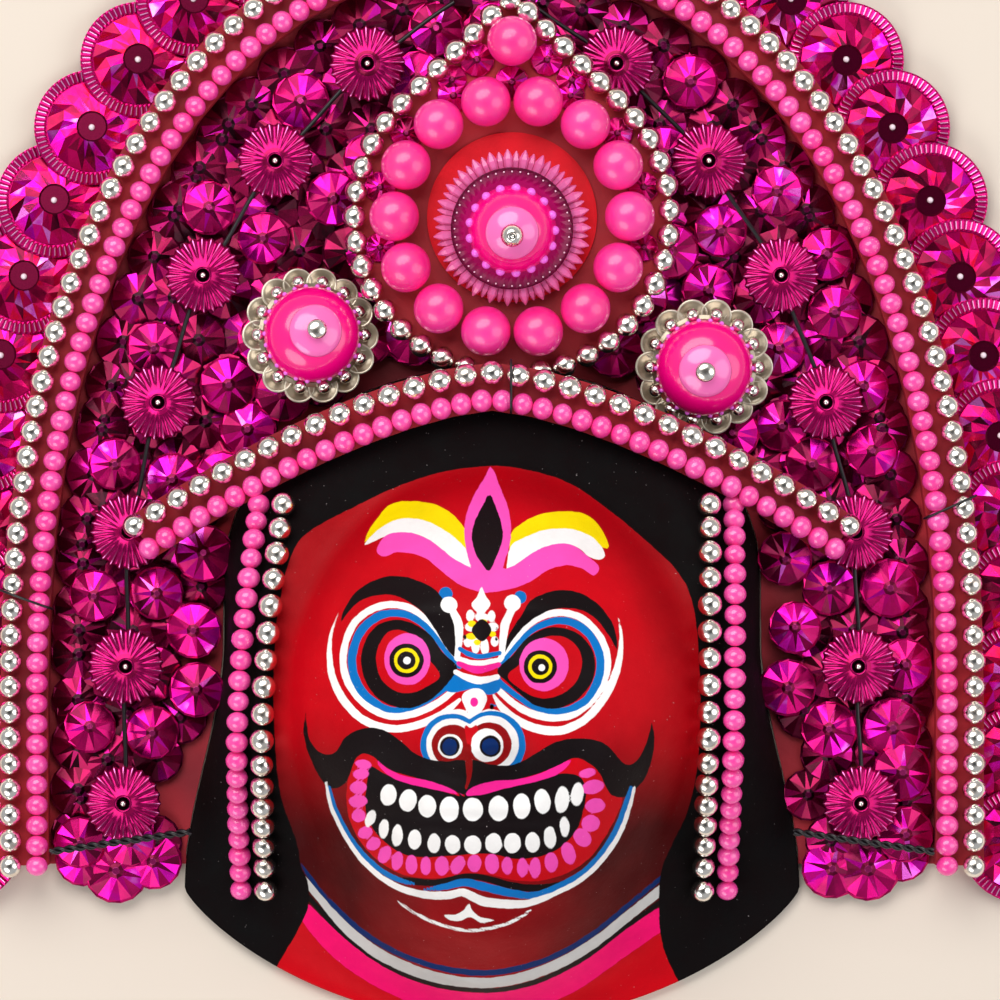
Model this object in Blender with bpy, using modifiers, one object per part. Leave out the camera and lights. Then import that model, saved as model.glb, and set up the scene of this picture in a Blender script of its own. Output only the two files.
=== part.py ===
"""A painted dance-theatre demon mask, lying on its back: a hollow papier-mache face under a fan headdress
of red card, plastic spangles and strung beads. +Z is the way the face looks, +Y runs up to the crown."""

import math

import bmesh
import bpy
from mathutils import Vector

MM = 0.001
TOUCH = 0.3 * MM  # gap kept between pieces that touch
SPRING_Y = -159 * MM  # where the legs of the arch end and its curve begins

# Headdress arch: the line midway between the two bead strings of its band
ARCH_HALF_WIDTH = 188 * MM
ARCH_RISE = 303 * MM
ARCH_POWER = 2.2
BAND_FOOT_Y = -226 * MM
ARCH_STEPS = 32

# Red card: the backing board, and the raised strip that carries the band's beads
BOARD_THICKNESS = 3 * MM
BOARD_REACH = 26 * MM
STRIP_HALF_WIDTH = 9.6 * MM
STRIP_HEIGHT = 13.7 * MM

# Face and hair, moulded as one hollow shell
FACE_Y = -160 * MM
FACE_HALF_WIDTH = 80 * MM
FACE_UP = 94 * MM
FACE_DOWN = 112 * MM
FACE_HEIGHT = 92 * MM
FACE_SECTORS = 36
FACE_RINGS = 8
HAIR_RINGS = 3
HAIR_HALF_WIDTH = 108 * MM
HAIR_TOP_Y = -26 * MM
HAIR_SPRING_Y = -110 * MM
HAIR_CORNER = (124 * MM, -236 * MM)
CHIN_Y = -290 * MM
HAIR_HEIGHT_SIDE = 52 * MM
HAIR_HEIGHT_TOP = 34 * MM
HAIR_HEIGHT_CHIN = 24 * MM
SHELL_EDGE = 4 * MM
SHELL_WALL = 3.5 * MM
HEM_CURVE = 1.6
DOME_CURVE = 3
FILLET = 0.15
FACE_UNIT = FACE_HALF_WIDTH / 80
FEATURE_X = -7 * FACE_UNIT  # the features sit a little left of the middle
# Moulded features in face units: height, reach from FEATURE_X, height up the face, spread across, spread up.
# One with a reach is on both sides.
FACE_FEATURES = (
    (-4, 27, 15, 25, 20),  # eye socket
    (5.5, 27, 15, 14, 12),  # eye
    (4, 27, 38, 22, 7),  # brow ridge
    (6, 11, -15, 8, 7),  # nostril
    (5, 50, -23, 20, 20),  # cheek
    (8, 0, 9, 9, 20),  # bridge of the nose
    (13, 0, -15, 13, 11),  # tip of the nose
    (5, 0, -46, 46, 22),  # lips
    (4, 0, -90, 20, 10),  # chin
)

# Outer fan of large discs
DISC_RADIUS = 23.6 * MM
DISC_EDGE = 2.2 * MM
DISC_HEIGHT = 8 * MM
DISC_OFFSET = 25 * MM
DISC_PITCH = 33.6 * MM
DISC_SIDES = 12

# Field of small spangles between the band and the hair
SPANGLE_RADIUS = 11.6 * MM
SPANGLE_PITCH = 24 * MM
SPANGLE_BED = 6.5 * MM
SPANGLE_HEIGHT = 12.5 * MM
SPANGLE_SIDES = 7
FOOT_SPANGLES = 3

# Spoked stars and the black wire that threads them, on each side from the foot to the crown
STAR_RADIUS = 15.2 * MM
STAR_HEIGHT = 6 * MM
STAR_POINTS = 12
STAR_WAIST = 0.74
STAR_PLACES = (
    (-148 * MM, -201 * MM),
    (-147 * MM, -146 * MM),
    (-146 * MM, -92 * MM),
    (-134 * MM, -40 * MM),
    (-116 * MM, 11 * MM),
    (-87 * MM, 57 * MM),
    (-50 * MM, 96 * MM),
)
WIRE_RADIUS = 1.1 * MM
TIE_RADIUS = 1.7 * MM
TIE_LIFT = 6 * MM
TIE_RISE = 8 * MM
TIE_OVERLAP = 3 * MM

# Bead strings
SILVER_RADIUS = 4.8 * MM
SILVER_PITCH = 10.2 * MM
PINK_RADIUS = 4.5 * MM
PINK_PITCH = 8.1 * MM
BEAD_WAIST = 0.5
STRING_SPACING = 10.8 * MM

# Eave over the brow: a card ribbon with one string of each kind
BROW_APEX_Y = -34 * MM
BROW_DROP = 60 * MM
BROW_HALF_SPAN = 140 * MM
BROW_POWER = 1.5
BROW_CARD = 1.6 * MM
BROW_STEPS = 9

# Strings that hang down both sides of the face
SIDE_INSET = 12 * MM
SIDE_SPACING = 10 * MM
SIDE_PINK_X = HAIR_HALF_WIDTH - SIDE_INSET
SIDE_SILVER_X = SIDE_PINK_X - SIDE_SPACING
SIDE_TOP_Y = -81 * MM
SIDE_FOOT_Y = -236 * MM
SIDE_CLEARANCE = 2.4 * MM
# How far outwards each pair lies at its top, in its middle, and at its foot
SIDE_SWAY = {"left": (-3 * MM, 4.5 * MM, 5 * MM), "right": (0.5 * MM, 0, -1.5 * MM)}

# Teardrop crest above the brow
CREST_X = 8 * MM
CREST_Y = 34 * MM
CREST_HALF_WIDTH = 63 * MM
CREST_TOP_Y = 122 * MM
CREST_CARD = 2 * MM
CREST_MARGIN = 1.2 * MM
CREST_STEPS = 28
LARGE_BEAD_RADIUS = 10 * MM
LARGE_RING_RADIUS = 47 * MM
LARGE_BEAD_COUNT = 14
TOP_BEAD_Y = 104 * MM

# Boss in the middle of the crest, its stack leaning towards the face
BOSS_DROP = 4 * MM
BOSS_LEAN = math.radians(8)
FELT_RADIUS = 34 * MM
FELT_THICKNESS = 1.2 * MM
WHEEL_RADIUS = 31 * MM
WHEEL_TIP_HEIGHT = 3.5 * MM
WHEEL_HUB_HEIGHT = 6 * MM
WHEEL_TEETH = 30
WHEEL_TOOTH = 5 * MM
CLEAR_RADIUS = 24.4 * MM
CLEAR_THICKNESS = 2 * MM
ACORN_RADIUS = 18.4 * MM
ACORN_HEIGHT = 20 * MM
FINIAL_RADIUS = 4.6 * MM

# Two side bosses, each a scalloped silver dish under a domed cap
SIDE_BOSSES = {
    "left": (-73 * MM, -13.5 * MM, math.radians(-6), math.radians(9)),
    "right": (85 * MM, -25.6 * MM, math.radians(7), math.radians(0)),
}
DISH_RADIUS = 26.4 * MM
DISH_SCALLOP = 2 * MM
DISH_SCALLOPS = 14
DISH_THICKNESS = 4 * MM
DOME_RADIUS = 20.5 * MM
DOME_HEIGHT = 17 * MM
STUD_RADIUS = 4 * MM

# Heights of the layers, each resting on the one below
BOARD_TOP = BOARD_THICKNESS + TOUCH
STRIP_TOP = BOARD_TOP + STRIP_HEIGHT
SPANGLE_TOP = BOARD_TOP + SPANGLE_HEIGHT
WIRE_Z = SPANGLE_TOP + TOUCH + WIRE_RADIUS
STAR_BASE = WIRE_Z + WIRE_RADIUS + TOUCH
BROW_END_Z = STAR_BASE + STAR_HEIGHT + TOUCH
CREST_BASE = STAR_BASE + STAR_HEIGHT + TOUCH
CREST_FACE = CREST_BASE + CREST_CARD
DISH_BASE = STAR_BASE

RED_CARD = ("red card", (0.55, 0.03, 0.05), 0.6, 0.0)
FACE_RED = ("face paint", (0.62, 0.01, 0.02), 0.35, 0.0)
MAGENTA = ("magenta plastic", (0.60, 0.01, 0.30), 0.15, 0.0)
PINK = ("pink bead", (0.95, 0.14, 0.50), 0.25, 0.0)
HOT_PINK = ("hot pink plastic", (0.95, 0.02, 0.36), 0.2, 0.0)
SILVER = ("silvered bead", (0.80, 0.78, 0.72), 0.12, 1.0)
BLACK_WIRE = ("black wire", (0.01, 0.01, 0.01), 0.4, 0.0)


def clear_scene():
    for old in list(bpy.data.objects):
        bpy.data.objects.remove(old)


def material(finish):
    name, colour, roughness, metallic = finish
    made = bpy.data.materials.get(name)
    if made is None:
        made = bpy.data.materials.new(name)
        made.use_nodes = True
        shader = made.node_tree.nodes["Principled BSDF"]
        shader.inputs["Base Color"].default_value = (*colour, 1)
        shader.inputs["Roughness"].default_value = roughness
        shader.inputs["Metallic"].default_value = metallic
    return made


def add_object(name, data, finish, collection):
    made = bpy.data.objects.new(name, data)
    collection.objects.link(made)
    if not data.materials:
        data.materials.append(material(finish))
    return made


def mesh_from(build, name):
    mesh = bpy.data.meshes.new(name)
    bm = bmesh.new()
    build(bm)
    bm.to_mesh(mesh)
    bm.free()
    return mesh


def smoothstep(low, high, value):
    t = min(1.0, max(0.0, (value - low) / (high - low)))
    return t * t * (3 - 2 * t)


def bump(x, y, centre_x, centre_y, spread_x, spread_y):
    return math.exp(-(((x - centre_x) / spread_x) ** 2) - ((y - centre_y) / spread_y) ** 2)


# Outlines


def signed_power(value, power):
    return math.copysign(abs(value) ** power, value)


def arch(offset, foot_y, count):
    """Points along the headdress arch moved outwards by offset, from the left foot over the crown."""
    wide = ARCH_HALF_WIDTH + offset
    high = ARCH_RISE + offset
    points = [(-wide, foot_y)]
    for step in range(count + 1):
        angle = math.pi * (1 - step / count)
        x = wide * signed_power(math.cos(angle), 2 / ARCH_POWER)
        points.append((x, SPRING_Y + high * abs(math.sin(angle)) ** (2 / ARCH_POWER)))
    points.append((wide, foot_y))
    return points


def hair_outline():
    """The rim of the mask on the surface it lies on, anticlockwise from the right-hand spring line."""
    rise = HAIR_TOP_Y - HAIR_SPRING_Y
    points = []
    for step in range(33):
        angle = math.pi * step / 32
        points.append((HAIR_HALF_WIDTH * math.cos(angle), HAIR_SPRING_Y + rise * math.sin(angle)))
    corner_x, corner_y = HAIR_CORNER
    flare = []
    for step in range(1, 9):
        t = step / 8
        x = HAIR_HALF_WIDTH + (corner_x - HAIR_HALF_WIDTH) * smoothstep(0.2, 1, t)
        flare.append((x, HAIR_SPRING_Y + (corner_y - HAIR_SPRING_Y) * t))
    hem = []
    for step in range(1, 12):
        angle = math.pi / 2 * step / 12
        drop = (CHIN_Y - corner_y) * math.sin(angle) ** HEM_CURVE
        hem.append((corner_x * math.cos(angle), corner_y + drop))
    points += [(-x, y) for x, y in flare + hem]
    points.append((0, CHIN_Y))
    points += reversed(flare + hem)
    return points


HAIR_OUTLINE = hair_outline()


def rim_distance(dx, dy):
    """How far the rim lies from the middle of the face in the direction dx, dy."""
    best = None
    for index, (ax, ay) in enumerate(HAIR_OUTLINE):
        bx, by = HAIR_OUTLINE[(index + 1) % len(HAIR_OUTLINE)]
        ay, by = ay - FACE_Y, by - FACE_Y
        cross = dx * (by - ay) - dy * (bx - ax)
        if abs(cross) < 1e-12:
            continue
        along = (ax * (by - ay) - ay * (bx - ax)) / cross
        share = (ax * dy - ay * dx) / cross
        if along > 0 and -1e-6 <= share <= 1 + 1e-6:
            best = along if best is None else min(best, along)
    return best


# Face shell


def face_features(x, y):
    """Height of the moulded features over the plain egg of the face."""
    height = 0
    for raised, reach, up, wide, tall in FACE_FEATURES:
        for side in (-1, 1) if reach else (1,):
            middle_x = FEATURE_X + side * reach * FACE_UNIT
            middle_y = FACE_Y + up * FACE_UNIT
            height += raised * bump(x, y, middle_x, middle_y, wide * FACE_UNIT, tall * FACE_UNIT)
    return height * FACE_UNIT


def shell_height(x, y, with_features=True):
    """Height of the shell's outer surface over the point x, y, inside its rim."""
    dx, dy = x, y - FACE_Y
    distance = math.hypot(dx, dy)
    if distance < 1e-6:
        return FACE_HEIGHT + SHELL_EDGE + (face_features(x, y) if with_features else 0)
    across = dx / FACE_HALF_WIDTH
    along = dy / (FACE_UP if dy > 0 else FACE_DOWN)
    radius = math.hypot(across, along)
    lift = along / radius
    low = smoothstep(0.05, 0.5, -lift)
    high = smoothstep(0.3, 0.9, lift)
    hem = HAIR_HEIGHT_SIDE
    hem += (HAIR_HEIGHT_CHIN - HAIR_HEIGHT_SIDE) * low
    hem += (HAIR_HEIGHT_TOP - HAIR_HEIGHT_SIDE) * high
    swell = 1 - radius**DOME_CURVE
    dome = (swell + math.hypot(swell, FILLET)) / (1 + math.hypot(1, FILLET))
    skirt = hem
    if radius > 1:
        edge = distance / radius
        rim = rim_distance(dx / distance, dy / distance)
        out = min(1.0, (distance - edge) / (rim - edge))
        skirt = hem * (1 - out ** (4 - 2.6 * low)) ** (1 + 1.2 * low)
    height = SHELL_EDGE + skirt + (FACE_HEIGHT - hem) * dome
    if with_features:
        height += face_features(x, y) * smoothstep(1.15, 0.8, radius)
    return height


def build_face_shell(bm):
    outer, inner = [], []
    directions = []
    for sector in range(FACE_SECTORS):
        angle = 2 * math.pi * (sector + 0.5) / FACE_SECTORS
        dx, dy = math.cos(angle), math.sin(angle)
        across = dx / FACE_HALF_WIDTH
        along = dy / (FACE_UP if dy > 0 else FACE_DOWN)
        directions.append((dx, dy, 1 / math.hypot(across, along), rim_distance(dx, dy)))

    def ring(distance_of, height_of):
        return [
            bm.verts.new((dx * d, FACE_Y + dy * d, height_of(dx * d, FACE_Y + dy * d)))
            for dx, dy, d in ((dx, dy, distance_of(edge, rim)) for dx, dy, edge, rim in directions)
        ]

    for step in range(1, FACE_RINGS + 1):
        outer.append(ring(lambda edge, rim: edge * step / FACE_RINGS, shell_height))
    for step in range(1, HAIR_RINGS + 1):
        share = (step / HAIR_RINGS) ** 0.8
        outer.append(ring(lambda edge, rim: edge + (rim - edge) * share, shell_height))
    foot = ring(lambda edge, rim: rim, lambda x, y: 0)

    def inner_height(x, y):
        reach = math.hypot(x, y - FACE_Y)
        grow = (reach + SHELL_WALL) / reach
        height = shell_height(x * grow, FACE_Y + (y - FACE_Y) * grow, with_features=False)
        return max(0, height - SHELL_EDGE - SHELL_WALL)

    for share in (0.3, 0.55, 0.75, 0.9):
        inner.append(ring(lambda edge, rim: (rim - 2 * SHELL_WALL) * share, inner_height))
    mouth = ring(lambda edge, rim: rim - 2 * SHELL_WALL, lambda x, y: 0)
    top = bm.verts.new((0, FACE_Y, shell_height(0, FACE_Y)))
    under = bm.verts.new((0, FACE_Y, FACE_HEIGHT - SHELL_WALL))
    rows = outer + [foot, mouth] + inner[::-1]
    count = FACE_SECTORS
    for first, second in zip(rows, rows[1:]):
        for k in range(count):
            after = (k + 1) % count
            bm.faces.new((first[k], second[k], second[after], first[after]))
    for k in range(count):
        after = (k + 1) % count
        bm.faces.new((top, rows[0][k], rows[0][after]))
        bm.faces.new((under, rows[-1][after], rows[-1][k]))
    bmesh.ops.recalc_face_normals(bm, faces=bm.faces)


# Card pieces


def flat_card(name, outlines, base, thickness, finish, collection):
    """A flat outline, cut from card: a filled 2D curve extruded by half its thickness each way."""
    curve = bpy.data.curves.new(name, "CURVE")
    curve.dimensions = "2D"
    curve.fill_mode = "BOTH"
    curve.extrude = thickness / 2
    for outline in outlines:
        spline = curve.splines.new("POLY")
        spline.points.add(len(outline) - 1)
        for point, (x, y) in zip(spline.points, outline):
            point.co = (x, y, 0, 1)
        spline.use_cyclic_u = True
    made = add_object(name, curve, finish, collection)
    made.location.z = base + thickness / 2
    return made


def notch(clearance):
    """The part of the hair's rim that the board closes round, from its right foot to its left foot."""
    grown = []
    for x, y in HAIR_OUTLINE:
        away = Vector((x, y - FACE_Y))
        away *= 1 + clearance / away.length
        grown.append((away.x, away.y + FACE_Y))
    return [point for point in grown[-20:] + grown[:53] if point[1] > BAND_FOOT_Y]


def add_board(collection):
    outline = arch(BOARD_REACH, BAND_FOOT_Y, 32)
    rim = notch(2 * TOUCH)
    foot = [(rim[0][0], BAND_FOOT_Y)] + rim + [(rim[-1][0], BAND_FOOT_Y)]
    flat_card("backing_board", [outline + foot], 0, BOARD_THICKNESS, RED_CARD, collection)


def add_band_strip(collection):
    outer = arch(STRIP_HALF_WIDTH, BAND_FOOT_Y, ARCH_STEPS)
    inner = arch(-STRIP_HALF_WIDTH, BAND_FOOT_Y, ARCH_STEPS)
    outline = outer + inner[::-1]
    flat_card("band_strip", [outline], BOARD_TOP, STRIP_HEIGHT, RED_CARD, collection)


# Bead strings and wires


def lengths_along(path):
    total = [0.0]
    for first, second in zip(path, path[1:]):
        total.append(total[-1] + (second - first).length)
    return total


def point_at(path, total, reach):
    for index in range(len(path) - 1):
        if reach <= total[index + 1] or index == len(path) - 2:
            span = total[index + 1] - total[index]
            return path[index].lerp(path[index + 1], (reach - total[index]) / span)


def tube(name, points, radii, radius, finish, collection, closed=False, sides=4):
    curve = bpy.data.curves.new(name, "CURVE")
    curve.dimensions = "3D"
    curve.bevel_depth = radius
    curve.bevel_resolution = (sides - 4) // 2
    curve.use_fill_caps = not closed
    spline = curve.splines.new("POLY")
    spline.points.add(len(points) - 1)
    for point, place, size in zip(spline.points, points, radii):
        point.co = (*place, 1)
        point.radius = size
    spline.use_cyclic_u = closed
    return add_object(name, curve, finish, collection)


def bead_string(name, path, pitch, radius, finish, collection, closed=False):
    """Beads threaded along a path: a tube that swells at each bead and narrows where two beads meet."""
    path = [Vector(point) for point in path]
    if closed:
        path.append(path[0])
    total = lengths_along(path)
    count = round(total[-1] / pitch)
    step = total[-1] / count
    points, radii = [], []
    for bead in range(count):
        points.append(point_at(path, total, bead * step))
        radii.append(BEAD_WAIST)
        points.append(point_at(path, total, (bead + 0.5) * step))
        radii.append(1)
    if not closed:
        points.append(path[-1])
        radii.append(BEAD_WAIST)
    tube(name, points, radii, radius, finish, collection, closed)


def lifted(points, z):
    return [(x, y, z) for x, y in points]


def add_band_strings(collection):
    half = STRING_SPACING / 2
    silver = lifted(arch(half, BAND_FOOT_Y, 60), STRIP_TOP + TOUCH + SILVER_RADIUS)
    pink = lifted(arch(-half, BAND_FOOT_Y, 60), STRIP_TOP + TOUCH + PINK_RADIUS)
    bead_string("band_silver_beads", silver, SILVER_PITCH, SILVER_RADIUS, SILVER, collection)
    bead_string("band_pink_beads", pink, PINK_PITCH, PINK_RADIUS, PINK, collection)


def brow_plan(offset):
    """Points along the brow eave in plan, moved up the mask by offset at right angles to it."""
    points = []
    for step in range(2 * BROW_STEPS - 1):
        share = step / (BROW_STEPS - 1) - 1
        steep = BROW_DROP * BROW_POWER * abs(share) ** (BROW_POWER - 1) / BROW_HALF_SPAN
        across = Vector((math.copysign(steep, share), 1)).normalized()
        y = BROW_APEX_Y - BROW_DROP * abs(share) ** BROW_POWER
        points.append((share, share * BROW_HALF_SPAN + offset * across.x, y + offset * across.y))
    return points


def brow_middle_z():
    """The eave's height at the middle: clear of the crest's beads and of the hair all along it."""
    needed = [CREST_FACE + 2 * SILVER_RADIUS + 4 * TOUCH]
    for share, x, y in brow_plan(-STRIP_HALF_WIDTH):
        if abs(share) < 1:
            over_hair = shell_height(x, y) + SHELL_EDGE / 2
            needed.append((over_hair - BROW_END_Z * share**2) / (1 - share**2))
    return max(needed)


def brow_line(offset):
    middle_z = brow_middle_z()
    return [
        Vector((x, y, middle_z + (BROW_END_Z - middle_z) * share**2))
        for share, x, y in brow_plan(offset)
    ]


def add_brow(collection):
    def ribbon(bm):
        lower = [bm.verts.new(point) for point in brow_line(-STRIP_HALF_WIDTH)]
        upper = [bm.verts.new(point) for point in brow_line(STRIP_HALF_WIDTH)]
        for k in range(len(lower) - 1):
            bm.faces.new((lower[k], lower[k + 1], upper[k + 1], upper[k]))

    card = add_object("brow_strip", mesh_from(ribbon, "brow_strip"), RED_CARD, collection)
    wall = card.modifiers.new("card thickness", "SOLIDIFY")
    wall.thickness = BROW_CARD
    wall.offset = 1
    lift = Vector((0, 0, BROW_CARD + 2 * TOUCH))
    half = STRING_SPACING / 2
    silver = [point + lift + Vector((0, 0, SILVER_RADIUS)) for point in brow_line(half)]
    pink = [point + lift + Vector((0, 0, PINK_RADIUS)) for point in brow_line(-half)]
    bead_string("brow_silver_beads", silver, SILVER_PITCH, SILVER_RADIUS, SILVER, collection)
    bead_string("brow_pink_beads", pink, PINK_PITCH, PINK_RADIUS, PINK, collection)


def side_line(word, base_x, radius):
    """A string that lies on the hair beside the face and dives with it towards the rim."""
    points = []
    side = -1 if word == "left" else 1
    top, middle, foot = SIDE_SWAY[word]
    bow = middle - (top + foot) / 2
    steps = 24
    for step in range(steps + 1):
        share = step / steps
        sway = top + (foot - top) * share + bow * math.sin(math.pi * share)
        x = side * (base_x + sway)
        y = SIDE_TOP_Y + (SIDE_FOOT_Y - SIDE_TOP_Y) * share
        here = shell_height(x, y)
        slope_x = (shell_height(x + MM, y) - here) / MM
        slope_y = (shell_height(x, y + MM) - here) / MM
        lean = math.hypot(1, slope_x, slope_y)
        points.append((x, y, here + (SIDE_CLEARANCE + radius) * lean))
    return points


def add_side_strings(collection):
    for word in SIDE_SWAY:
        pink = side_line(word, SIDE_PINK_X, PINK_RADIUS)
        silver = side_line(word, SIDE_SILVER_X, SILVER_RADIUS)
        bead_string(f"side_pink_beads_{word}", pink, PINK_PITCH, PINK_RADIUS, PINK, collection)
        bead_string(f"side_silver_beads_{word}", silver, SILVER_PITCH, SILVER_RADIUS, SILVER, collection)


def add_wires(collection):
    """One black wire a side threads its stars, and one ties the foot of the band to the hair."""
    for side, word in ((-1, "left"), (1, "right")):
        stars = [(-side * x, y, WIRE_Z) for x, y in STAR_PLACES]
        stars.append((side * STAR_RADIUS, CREST_TOP_Y - CREST_MARGIN, WIRE_Z))
        sizes = [1] * len(stars)
        tube(f"star_wire_{word}", stars, sizes, WIRE_RADIUS, BLACK_WIRE, collection, sides=6)
        foot_x = ARCH_HALF_WIDTH - STRIP_HALF_WIDTH - TIE_RADIUS
        hair_x = HAIR_CORNER[0] - TIE_OVERLAP
        z = STAR_BASE + STAR_HEIGHT + 2 * TOUCH + TIE_RADIUS
        tie_y = BAND_FOOT_Y + TIE_LIFT
        ends = [(side * foot_x, tie_y, z), (side * hair_x, tie_y + TIE_RISE, z)]
        tube(f"tie_wire_{word}", ends, [1, 1], TIE_RADIUS, BLACK_WIRE, collection, sides=6)


# Spangles, discs and stars


def cone(bm, x, y, base, radius, height, sides):
    made = bmesh.ops.create_cone(
        bm, cap_ends=True, segments=sides, radius1=radius, radius2=0, depth=height
    )
    bmesh.ops.translate(bm, verts=made["verts"], vec=(x, y, base + height / 2))


def plate_disc(bm, x, y, base, radius, edge, height, sides):
    """A disc with an upright edge under a low faceted cone."""
    rims = []
    for level in (base, base + edge):
        rim = []
        for k in range(sides):
            angle = 2 * math.pi * k / sides + math.pi / 2
            rim.append(bm.verts.new((x + radius * math.cos(angle), y + radius * math.sin(angle), level)))
        rims.append(rim)
    low, high = rims
    crown = bm.verts.new((x, y, base + height))
    bm.faces.new(low[::-1])
    for k in range(sides):
        after = (k + 1) % sides
        bm.faces.new((low[k], low[after], high[after], high[k]))
        bm.faces.new((high[k], high[after], crown))


def fuse(made, name, others, collection):
    """Joins overlapping shapes to an object, which stays one solid."""
    helper = add_object(name, mesh_from(others, name), MAGENTA, collection)
    helper.hide_render = True
    helper.display_type = "WIRE"
    union = made.modifiers.new("join", "BOOLEAN")
    union.operation = "UNION"
    union.object = helper
    union.use_self = True


def prism(bm, outline, base, top):
    corners = [bm.verts.new((x, y, base)) for x, y in outline]
    face = bm.faces.new(corners)
    pushed = bmesh.ops.extrude_face_region(bm, geom=[face])
    moved = [item for item in pushed["geom"] if isinstance(item, bmesh.types.BMVert)]
    bmesh.ops.translate(bm, verts=moved, vec=(0, 0, top - base))
    bmesh.ops.recalc_face_normals(bm, faces=bm.faces)


def halo_places():
    """Centres of the large discs, evenly spaced along the arch, one of them at the crown."""
    path = [Vector((x, y, 0)) for x, y in arch(DISC_OFFSET, BAND_FOOT_Y + DISC_RADIUS / 3, 120)]
    total = lengths_along(path)
    half = round(total[-1] / DISC_PITCH / 2)
    return [point_at(path, total, total[-1] * index / (2 * half)) for index in range(2 * half + 1)]


def add_halo(collection, helpers):
    """The fan of large discs, each overlapping the next, trimmed where the raised strip stands."""
    first, *rest = halo_places()

    def one_disc(bm, place):
        plate_disc(bm, place.x, place.y, BOARD_TOP, DISC_RADIUS, DISC_EDGE, DISC_HEIGHT, DISC_SIDES)

    def others(bm):
        for place in rest:
            one_disc(bm, place)

    start = mesh_from(lambda bm: one_disc(bm, first), "halo_discs")
    halo = add_object("halo_discs", start, MAGENTA, collection)
    fuse(halo, "halo_rest", others, helpers)
    inside = arch(STRIP_HALF_WIDTH + TOUCH, BAND_FOOT_Y - 2 * DISC_RADIUS, ARCH_STEPS)
    strip = mesh_from(lambda bm: prism(bm, inside, 0, 2 * STRIP_TOP), "strip")
    cutter = add_object("strip_clearance", strip, RED_CARD, helpers)
    cutter.hide_render = True
    cutter.display_type = "WIRE"
    cut = halo.modifiers.new("clear the strip", "BOOLEAN")
    cut.operation = "DIFFERENCE"
    cut.object = cutter


def inside_band(x, y, margin):
    """True where a point lies inside the raised strip by the margin."""
    wide = ARCH_HALF_WIDTH - STRIP_HALF_WIDTH - margin
    high = ARCH_RISE - STRIP_HALF_WIDTH - margin
    share = max(0, (y - SPRING_Y) / high)
    return (abs(x) / wide) ** ARCH_POWER + share**ARCH_POWER < 1


def outside_hair(x, y, margin):
    dx, dy = x, y - FACE_Y
    distance = math.hypot(dx, dy)
    return distance > rim_distance(dx / distance, dy / distance) + margin


def under_crest(x, y):
    return math.hypot(x - CREST_X, y - CREST_Y) < CREST_HALF_WIDTH - SPANGLE_RADIUS


def spangle_places():
    """A staggered grid that fills the space between the strip and the hair, less what the crest hides."""
    margin = SPANGLE_RADIUS + TOUCH
    row_step = SPANGLE_PITCH * math.sqrt(3) / 2
    places = []
    for row in range(math.ceil((ARCH_RISE + ARCH_HALF_WIDTH) / row_step)):
        y = BAND_FOOT_Y + SPANGLE_RADIUS + row * row_step
        columns = math.ceil(ARCH_HALF_WIDTH / SPANGLE_PITCH)
        for column in range(-columns, columns + 1):
            x = (column + 0.5 * (row % 2)) * SPANGLE_PITCH
            clear = inside_band(x, y, margin) and outside_hair(x, y, margin)
            if clear and not under_crest(x, y):
                places.append((x, y))
    return places


def foot_places():
    """The spangles whose lower halves scallop the foot of the fan, on both sides of the hair."""
    low = HAIR_CORNER[0] + SPANGLE_RADIUS + 4 * TOUCH
    high = ARCH_HALF_WIDTH - STRIP_HALF_WIDTH - SPANGLE_RADIUS - 2 * TOUCH
    shares = [index / (FOOT_SPANGLES - 1) for index in range(FOOT_SPANGLES)]
    return [(side * (low + (high - low) * share), BAND_FOOT_Y) for share in shares for side in (-1, 1)]


def add_spangles(collection, helpers):
    """A bed of card between the strip and the hair, with spangles set on it and scalloping its foot."""
    outer = arch(-STRIP_HALF_WIDTH - TOUCH, BAND_FOOT_Y, ARCH_STEPS)
    rim = notch(3 * TOUCH)
    outline = outer + [(rim[0][0], BAND_FOOT_Y)] + rim + [(rim[-1][0], BAND_FOOT_Y)]
    bed_top = BOARD_TOP + SPANGLE_BED
    bed = mesh_from(lambda bm: prism(bm, outline, BOARD_TOP, bed_top), "spangle_field")
    field = add_object("spangle_field", bed, MAGENTA, collection)

    def others(bm):
        base = BOARD_TOP + TOUCH
        for x, y in foot_places():
            plate_disc(bm, x, y, base, SPANGLE_RADIUS, SPANGLE_BED, SPANGLE_HEIGHT, SPANGLE_SIDES)
        sunk = SPANGLE_BED - TOUCH
        for x, y in spangle_places():
            cone(bm, x, y, BOARD_TOP + sunk, SPANGLE_RADIUS, SPANGLE_HEIGHT - sunk, SPANGLE_SIDES)

    fuse(field, "spangle_rest", others, helpers)


def add_stars(collection):
    """Spoked stars, each one rising from its points to the middle."""

    def star(bm):
        rim = []
        for k in range(2 * STAR_POINTS):
            angle = math.pi * k / STAR_POINTS
            radius = STAR_RADIUS * (STAR_WAIST if k % 2 else 1)
            rim.append(bm.verts.new((radius * math.cos(angle), radius * math.sin(angle), 0)))
        crown = bm.verts.new((0, 0, STAR_HEIGHT))
        bm.faces.new(rim[::-1])
        for k in range(len(rim)):
            bm.faces.new((rim[k], rim[(k + 1) % len(rim)], crown))

    mesh = mesh_from(star, "star")
    for side, word in ((-1, "left"), (1, "right")):
        for index, (x, y) in enumerate(STAR_PLACES):
            made = add_object(f"star_{word}_{index + 1}", mesh, MAGENTA, collection)
            made.location = (-side * x, y, STAR_BASE)


# Crest


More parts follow.
